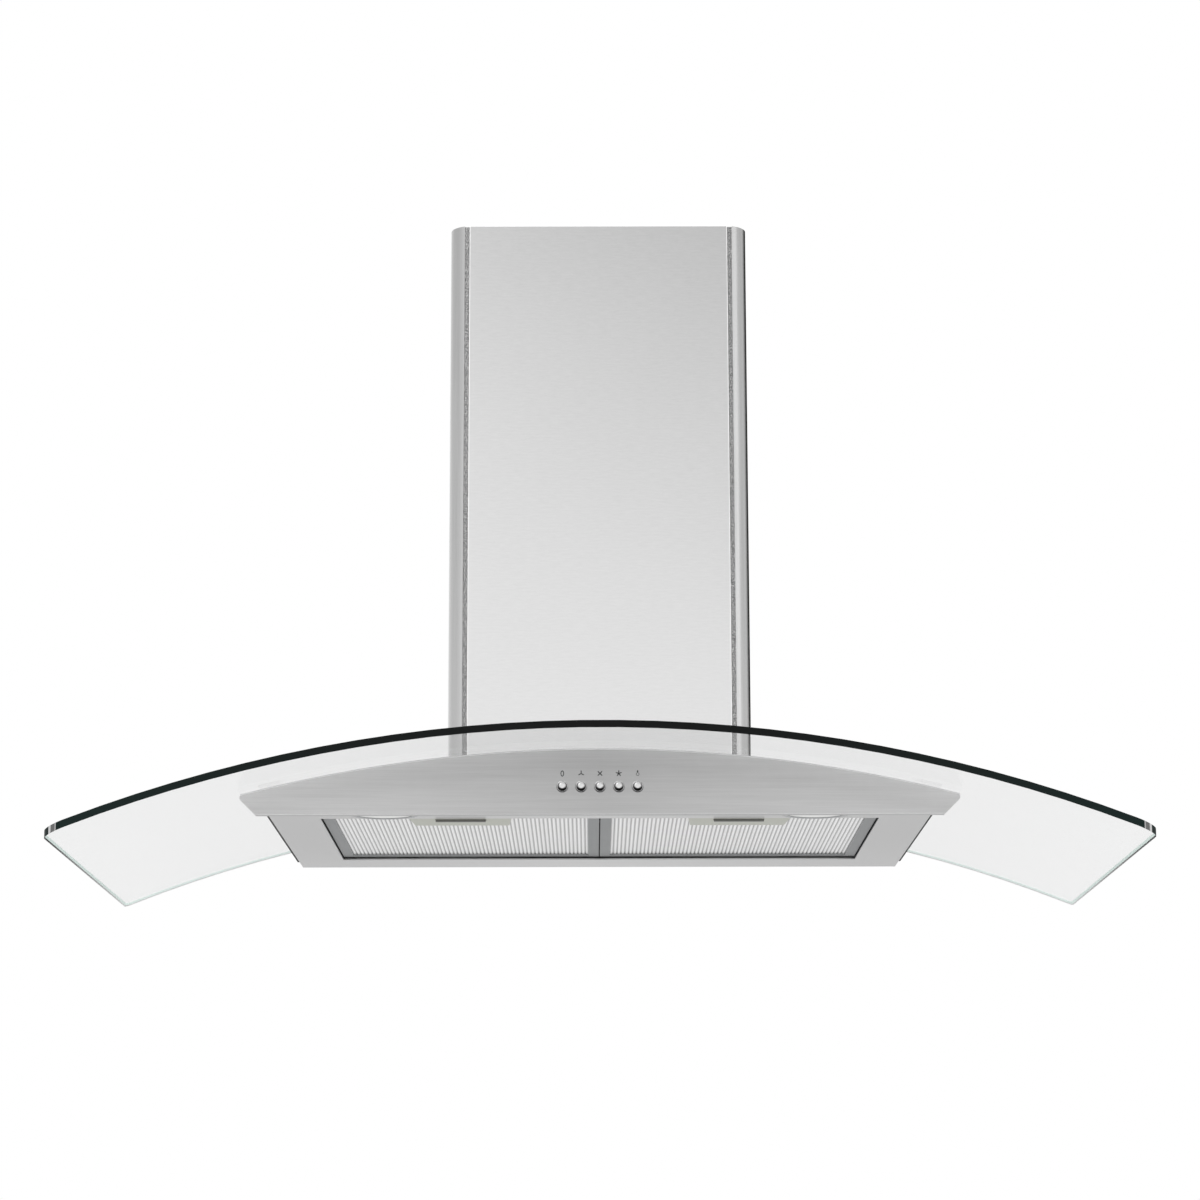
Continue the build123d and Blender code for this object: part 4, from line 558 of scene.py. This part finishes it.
# ---------------------------------------------------------------- plastic, rubber and print
def moulded(name, dark, light, rough):
    """Moulded plastic or rubber with a fine texture."""
    tree = new_finish(name)
    skin = tree.noise(tree.place(), scale=2600.0)
    cloud = tree.noise(tree.place(), scale=35.0, detail=3.0)
    return finished(
        tree,
        Base_Color=tree.between(skin * 0.5 + cloud * 0.5, dark, light),
        Roughness=rough - 0.06 + skin * 0.08 + cloud * 0.05,
        Normal=tree.bump(skin, strength=0.1, distance=0.0001),
    )


def foam(name):
    """Closed-cell foam strip."""
    tree = new_finish(name)
    depth = tree.cells(scale=900.0)["Distance"]
    return finished(
        tree,
        Base_Color=tree.between(depth, (0.02, 0.02, 0.021), (0.07, 0.07, 0.072)),
        Roughness=0.8 + depth * 0.15,
        Normal=tree.bump(depth, strength=0.4, distance=0.0003),
    )


def clear_silicone(name):
    """Milky clear silicone strip, with a faint painted glow, though it is no lamp."""
    tree = new_finish(name)
    milk = tree.noise(tree.place(), scale=160.0)
    return finished(
        tree,
        Base_Color=tree.between(milk, (0.84, 0.85, 0.85), (0.92, 0.93, 0.93)),
        Roughness=0.35 + milk * 0.1,
        Transmission_Weight=0.35,
        # painted glow
        Emission_Color=grey(1.0),
        Emission_Strength=0.1,
    )


def screen_print(name):
    """Dark grey printed marks."""
    tree = new_finish(name)
    edge = tree.noise(tree.place(), scale=3000.0)
    return finished(
        tree,
        Base_Color=tree.between(edge, (0.020, 0.021, 0.023), (0.040, 0.041, 0.043)),
        Roughness=0.5 + edge * 0.1,
    )


# ---------------------------------------------------------------- who wears what
# painted highlight for the rounded bends: near white and glowing
PAINTED_EDGE_HIGHLIGHT = painted_edge_finish("painted_highlight_bend")
DARK_RIM = painted_dark_rim("glass_rim")
PALE_RIM = painted_pale_rim("painted_pale_rim")
PRINT = screen_print("printed_grey")
MESH_ALUMINIUM = mesh_aluminium("filter_mesh_aluminium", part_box("filter_mesh_left")[0].z)
# the columns' steel, with painted shade in the grooves and on the right bends
COLUMN_STEEL = brushed_steel("column_steel", 0.87, "z", rough=0.24, contrast=0.05, groove=True)
# chrome of the buttons and bezels, with a painted reflection
BUTTON_CHROME = chrome_painted_reflection("chrome_painted_reflection")
# the latches' grips: dark plastic, painted darker still as the shade in their slots
LATCH_GRIP = moulded("latch_grip_painted_shade", (0.15, 0.15, 0.14), (0.20, 0.20, 0.185), rough=0.42)
LENSES = {side: frosted_lens("lens_" + side, middle_of("lamp_lens_" + side)) for side in SIDES}

BY_SLOT = {
    "glass": clear_glass("clear_glass"),
    "steel": brushed_steel("shell_steel", 0.55, "x", rough=0.34, contrast=0.04),
    "zinc": galvanised("galvanised_sheet"),
    "fastener": plated("zinc_plated"),
    "chrome": chrome("polished_chrome"),
    "rubber": moulded("black_rubber", (0.008, 0.008, 0.008), (0.018, 0.018, 0.019), rough=0.62),
    "foam": foam("gasket_foam"),
    "silicone": clear_silicone("clear_silicone"),
    "black_plastic": moulded(
        "black_plastic", (0.018, 0.018, 0.02), (0.035, 0.035, 0.037), rough=0.48
    ),
    "grey_plastic": moulded("grey_plastic", (0.20, 0.21, 0.22), (0.27, 0.28, 0.29), rough=0.5),
    "latch_plastic": moulded("latch_plastic", (0.57, 0.58, 0.51), (0.64, 0.65, 0.58), rough=0.42),
    "white_plastic": moulded("white_plastic", (0.74, 0.74, 0.71), (0.82, 0.82, 0.80), rough=0.34),
    "motor_paint": enamel("motor_enamel"),
    "filter_frame": frame_aluminium("filter_frame_aluminium"),
    "filter_mesh": MESH_ALUMINIUM,
    "lens": LENSES["left"],
}
BY_NODE = {
    # painted reflection: the front panel is painted lighter towards its ends
    "front_panel": brushed_steel(
        "front_panel_steel", 0.50, "x", rough=0.30, contrast=0.07, fade=("X", PANEL_REACH, 0.66)
    ),
    # painted shade: the chimney's steel is painted darker towards its top
    "chimney_front": brushed_steel(
        "chimney_steel", 1.0, "short", rough=0.34, contrast=0.05, fade=("Z", CHIMNEY_TOP, 0.60)
    ),
    "underside_panel": brushed_steel("underside_steel", 0.74, "x", rough=0.30, contrast=0.02),
    "upper_cover": brushed_steel("upper_cover_steel", 0.66, "x", rough=0.34, contrast=0.04),
    "button_bezels": BUTTON_CHROME,
}
for button in BUTTONS:
    BY_NODE[button] = BUTTON_CHROME
for side in SIDES:
    BY_NODE["chimney_side_" + side] = COLUMN_STEEL
    BY_NODE["latch_" + side] = LATCH_GRIP
    BY_NODE["lamp_lens_" + side] = LENSES[side]

for name, node in nodes.items():
    node.data.materials.clear()
    node.data.materials.append(BY_NODE.get(name, BY_SLOT[SLOT_OF[name]]))


# ---------------------------------------------------------------- making pieces
def clear_hands():
    """Leaves edit mode and deselects everything."""
    if bpy.context.object and bpy.context.object.mode != "OBJECT":
        close_mesh()
    bpy.ops.object.select_all(action="DESELECT")


def take(*pieces):
    """Selects these pieces alone; the last is the active one."""
    clear_hands()
    for piece in pieces:
        piece.select_set(True)
    bpy.context.view_layer.objects.active = pieces[-1]


def open_whole(piece):
    """Enters edit mode with the whole piece selected."""
    take(piece)
    bpy.ops.object.mode_set(mode="EDIT")
    bpy.ops.mesh.select_all(action="SELECT")


def open_picked(piece, test):
    """Enters edit mode with only the vertices selected that pass a test."""
    take(piece)
    for thing in list(piece.data.polygons) + list(piece.data.edges):
        thing.select = False
    for vertex in piece.data.vertices:
        vertex.select = test(vertex.co)
    bpy.ops.object.mode_set(mode="EDIT")


def close_mesh():
    """Leaves edit mode."""
    bpy.ops.object.mode_set(mode="OBJECT")


def keep_place():
    """Puts the active piece's place, turn and size in its mesh."""
    bpy.ops.object.transform_apply(location=True, rotation=True, scale=True)


def modify(piece, kind, **settings):
    """Gives the active piece a modifier and applies it."""
    step = piece.modifiers.new(kind.lower(), kind)
    for key, value in settings.items():
        setattr(step, key, value)
    bpy.ops.object.modifier_apply(modifier=step.name)


def joined(pieces):
    """Makes one piece of several."""
    take(*pieces)
    bpy.ops.object.join()
    return bpy.context.object


def settle(piece, name, finish, node, replaces=False):
    """Names a piece, gives it its finish, and hangs it where a CAD node hangs."""
    take(piece)
    keep_place()
    piece.name = piece.data.name = name
    if piece.data.materials:
        piece.data.materials[0] = finish
    else:
        piece.data.materials.append(finish)
    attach(piece, BODY_OF[node])
    if replaces:
        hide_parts(node)
    return piece


def copy_of(node):
    """A loose copy of a CAD node, its flat faces merged, to work on."""
    take(nodes[node])
    bpy.ops.object.duplicate()
    piece = bpy.context.object
    for key in list(piece.keys()):
        del piece[key]
    piece.parent = None
    open_whole(piece)
    bpy.ops.mesh.customdata_custom_splitnormals_clear()
    bpy.ops.mesh.remove_doubles(threshold=0.000002)
    bpy.ops.mesh.dissolve_limited(angle_limit=radians(0.5))
    close_mesh()
    return piece


# ---------------------------------------------------------------- rounded pieces
def soften(node, width, steps=2, highlight_finish=None):
    """Stands a copy of a CAD node in its place, with its sharp edges rounded."""
    piece = copy_of(node)
    # the rounded faces take the painted highlight finish, when one is given
    if highlight_finish:
        piece.data.materials.append(highlight_finish)
    modify(
        piece,
        "BEVEL",
        width=width,
        segments=steps,
        limit_method="ANGLE",
        angle_limit=radians(30),
        material=1 if highlight_finish else -1,
    )
    bpy.ops.object.shade_smooth_by_angle(angle=radians(50))
    modify(piece, "WEIGHTED_NORMAL", weight=100, keep_sharp=True)
    return settle(piece, node + "_rounded", nodes[node].data.materials[0], node, replaces=True)


def near_outline(place):
    """Whether a place on the glass is near its front, its back or an end."""
    near_front = place.y < GLASS_LOW.y + RIM_REACH
    near_back = place.y > GLASS_HIGH.y - RIM_REACH
    return near_front or near_back or abs(place.x) > GLASS_HIGH.x - RIM_REACH


def rounded_canopy():
    """The glass, its rim painted dark in front and painted pale at the ends and the back."""
    canopy = soften("glass_canopy", ROUNDING["glass_canopy"])
    for rim in (DARK_RIM, PALE_RIM):
        canopy.data.materials.append(rim)
    for face in canopy.data.polygons:
        outward = Vector((face.normal.x, face.normal.y)).length
        in_front = face.normal.y < FRONT_LEAN
        level = FRONT_RIM_LEVEL if in_front else OTHER_RIM_LEVEL
        if near_outline(face.center) and outward > level:
            face.material_index = 1 if in_front else 2


def press(node):
    """Stands a copy of a strip a little lower, so that its facets stay clear of the glass's."""
    strip = copy_of(node)
    open_whole(strip)
    bpy.ops.transform.translate(value=(0, 0, -STRIP_GIVE))
    close_mesh()
    bpy.ops.object.shade_smooth_by_angle(angle=radians(20))
    settle(strip, node + "_pressed", nodes[node].data.materials[0], node, replaces=True)


# the rounded edges of these two pieces wear the painted highlight
for node in ("front_panel", "chimney_front"):
    soften(node, ROUNDING[node], steps=4, highlight_finish=PAINTED_EDGE_HIGHLIGHT)
rounded_canopy()
for node in ("glass_strips", "side_seal_left", "side_seal_right"):
    press(node)
for side in SIDES:
    for kind in ("filter_frame", "latch_plate", "latch"):
        soften(f"{kind}_{side}", ROUNDING[kind])


# ---------------------------------------------------------------- filter mesh
def folded_foil(low, high, base, top, axis, density):
    """A foil between two heights, folded into pleats that follow one another along an axis."""
    spans = [high[i] - low[i] for i in range(2)]
    folds = int(spans[axis] / PLEAT * density)
    cuts = [1, 1]
    cuts[axis] = 2 * folds
    clear_hands()
    bpy.ops.mesh.primitive_grid_add(
        x_subdivisions=cuts[0],
        y_subdivisions=cuts[1],
        size=1,
        location=((low.x + high.x) / 2, (low.y + high.y) / 2, base + FOIL),
    )
    foil = bpy.context.object
    foil.scale = (spans[0] - 2 * FOIL, spans[1] - 2 * FOIL, 1)
    keep_place()
    start = low[axis] + FOIL
    step = (spans[axis] - 2 * FOIL) / (2 * folds)
    open_picked(foil, lambda co: round((co[axis] - start) / step) % 2 == 1)
    bpy.ops.transform.translate(value=(0, 0, top - base - 2 * FOIL))
    close_mesh()
    modify(foil, "SOLIDIFY", thickness=FOIL, offset=0)
    return foil


def pleated_pack(side):
    """A foil with fine pleats that run from front to back, and a cross-folded one above it."""
    node = "filter_mesh_" + side
    low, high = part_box(node)
    lower = folded_foil(low, high, low.z, low.z + PLEAT_RISE, axis=0, density=1)
    upper = folded_foil(
        low, high, low.z + UPPER_FOIL_LIFT, high.z, axis=1, density=UPPER_FOIL_FOLDS
    )
    pack = joined([lower, upper])
    settle(pack, "pleated_pack_" + side, MESH_ALUMINIUM, node, replaces=True)


for side in SIDES:
    pleated_pack(side)


# ---------------------------------------------------------------- symbols over the buttons
PANEL_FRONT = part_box("front_panel")[0].y


def flat_disc(x, z, half_x, half_z, corners):
    """A flat oval that faces the room."""
    clear_hands()
    bpy.ops.mesh.primitive_circle_add(
        vertices=corners,
        radius=1,
        fill_type="NGON",
        location=(x, PANEL_FRONT, z),
        rotation=(pi / 2, 0, 0),
    )
    disc = bpy.context.object
    disc.scale = (half_x, half_z, 1)
    keep_place()
    return disc


def hollow(disc, stroke):
    """Leaves only the outline of a disc."""
    open_whole(disc)
    bpy.ops.mesh.inset(thickness=stroke, depth=0)
    bpy.ops.mesh.delete(type="FACE")
    close_mesh()


def print_on_panel(piece, name):
    """Gives a flat symbol its thickness and lays it on the front panel."""
    take(piece)
    keep_place()
    modify(piece, "SOLIDIFY", thickness=PRINT_LIFT, offset=1)
    open_whole(piece)
    bpy.ops.mesh.normals_make_consistent(inside=False)
    close_mesh()
    settle(piece, name, PRINT, "front_panel")


def ring_symbol(x):
    """An upright oval ring for off."""
    ring = flat_disc(x, SYMBOL_Z, RING_HALF_WIDTH, SYMBOL_HALF, corners=32)
    hollow(ring, RING_STROKE)
    print_on_panel(ring, "symbol_off")


def fan_symbol(x, blades, turn, name):
    """A fan's blades round its middle."""
    centre = Matrix.Translation((x, 0, SYMBOL_Z))
    petals = []
    for i in range(blades):
        petal = flat_disc(
            x, SYMBOL_Z + PETAL_MIDDLE, PETAL_HALF_WIDTH, PETAL_HALF_LENGTH, corners=12
        )
        spin = Matrix.Rotation(turn + i * 2 * pi / blades, 4, "Y")
        petal.data.transform(centre @ spin @ centre.inverted())
        petals.append(petal)
    print_on_panel(joined(petals), name)


def lamp_symbol(x):
    """A bulb: a round glass and a small foot over it."""
    bulb = flat_disc(x, SYMBOL_Z - BULB_DROP, BULB_RADIUS, BULB_RADIUS, corners=24)
    hollow(bulb, BULB_STROKE)
    foot = flat_disc(x, SYMBOL_Z + FOOT_RISE, FOOT_HALF_WIDTH, FOOT_HALF_HEIGHT, corners=8)
    print_on_panel(joined([foot, bulb]), "symbol_lamp")


off_x, slow_x, middle_x, fast_x, lamp_x = [middle_of(button).x for button in BUTTONS]
ring_symbol(off_x)
fan_symbol(slow_x, blades=3, turn=0.0, name="symbol_slow")
fan_symbol(middle_x, blades=4, turn=pi / 4, name="symbol_middle")
fan_symbol(fast_x, blades=5, turn=0.0, name="symbol_fast")
lamp_symbol(lamp_x)


# ---------------------------------------------------------------- studio
def pale_floor():
    """A wide pale floor far below."""
    clear_hands()
    bpy.ops.mesh.primitive_grid_add(
        x_subdivisions=8, y_subdivisions=8, size=FLOOR_SIZE, location=(0, 0, FLOOR_Z)
    )
    floor = bpy.context.object
    floor.name = "floor"
    tree = new_finish("pale_floor")
    speck = tree.noise(tree.place(), scale=3.0, detail=4.0)
    colour = tree.between(speck, grey(0.84), grey(0.88))
    floor.data.materials.append(finished(tree, Base_Color=colour, Roughness=0.7 + speck * 0.1))


def studio_air():
    """Air that looks white, and lights the hood less from the sides and from above."""
    scene.world = bpy.data.worlds.new("studio_air")
    tree = Tree(scene.world)
    way = tree.parts(tree.add("ShaderNodeTexCoord")["Generated"])
    sides = tree.ramp(
        abs(way["X"]), (0.0, grey(1.0)), (0.35, grey(1.0)), (0.8, grey(0.66)), (1.0, grey(0.58))
    )
    heights = tree.ramp(
        way["Z"], (0.0, grey(1.0)), (0.1, grey(1.0)), (0.38, grey(0.70)), (1.0, grey(0.80))
    )
    air = tree.between(1.0, sides, heights, how="MULTIPLY")
    seen = tree.add("ShaderNodeLightPath")["Is Camera Ray"]
    values = {"Color": tree.between(seen, air, grey(1.0)), "Strength": 1.0}
    light = tree.add("ShaderNodeBackground", {}, values)["Background"]
    tree.add("ShaderNodeOutputWorld", {}, {"Surface": light})


def black_card(name, size, place, turn):
    """A black card that is seen only in reflections."""
    clear_hands()
    bpy.ops.mesh.primitive_plane_add(size=1, location=place, rotation=turn)
    card = bpy.context.object
    card.name = name
    card.scale = (*size, 1)
    keep_place()
    tree = new_finish(name)
    nap = tree.noise(tree.place(), scale=90.0)
    colour = tree.between(nap, grey(0.005), grey(0.015))
    card.data.materials.append(finished(tree, Base_Color=colour, Roughness=0.9))
    card.visible_camera = card.visible_diffuse = card.visible_shadow = False
    card.visible_transmission = card.visible_volume_scatter = False


def soft_light(name, place, aim, size, watts):
    """A wide lamp that the camera doesn't see."""
    clear_hands()
    bpy.ops.object.light_add(type="AREA", location=place)
    lamp = bpy.context.object
    lamp.name = name
    lamp.data.shape, lamp.data.size, lamp.data.size_y = "RECTANGLE", *size
    lamp.data.energy = watts
    lamp.rotation_euler = (Vector(aim) - Vector(place)).to_track_quat("-Z", "Y").to_euler()
    lamp.visible_camera = False


FRONT_MIDDLE = (0, -0.2, 0.2)
pale_floor()
studio_air()
black_card("flag_below", size=(1.6, 1.5), place=(0, -1.45, -1.0), turn=(0, 0, 0))
black_card("flag_right", size=(2.6, 1.6), place=(1.55, 2.0, 0.85), turn=(pi / 2, 0, 0))
soft_light("softbox_front", (-1.2, -3.0, 1.6), FRONT_MIDDLE, size=(1.6, 1.2), watts=6)
soft_light("softbox_right", (2.6, -1.6, 0.9), FRONT_MIDDLE, size=(0.8, 1.6), watts=1.5)
soft_light("softbox_below", (0, -1.7, -1.9), (0, -0.2, 0), size=(1.6, 1.0), watts=7)

# ---------------------------------------------------------------- camera
SENSOR_MM = 36
FOCAL_PIXELS = 3340.66
PHOTO_PIXELS = 1200
CAMERA_PLACE = (-0.00713, -3.1684, -0.4044)
PITCH, YAW, ROLL = 0.2067, -0.0027, -0.0022


def photo_camera():
    """The camera that fits the photograph's edges, looking a little up."""
    clear_hands()
    bpy.ops.object.camera_add()
    camera = bpy.context.object
    camera.name = "camera"
    camera.data.sensor_width = SENSOR_MM
    camera.data.lens = FOCAL_PIXELS / PHOTO_PIXELS * SENSOR_MM
    camera.data.clip_end = 100
    right = Vector((cos(YAW), sin(YAW), 0))
    ahead = Vector((-sin(YAW), cos(YAW), 0))
    up = Vector((0, 0, 1))
    ahead, up = cos(PITCH) * ahead + sin(PITCH) * up, cos(PITCH) * up - sin(PITCH) * ahead
    right, up = cos(ROLL) * right + sin(ROLL) * up, cos(ROLL) * up - sin(ROLL) * right
    turn = Matrix((right, up, -ahead)).transposed()
    camera.matrix_world = Matrix.Translation(CAMERA_PLACE) @ turn.to_4x4()
    scene.camera = camera


photo_camera()
scene.view_settings.view_transform = "Standard"
scene.view_settings.look = "None"
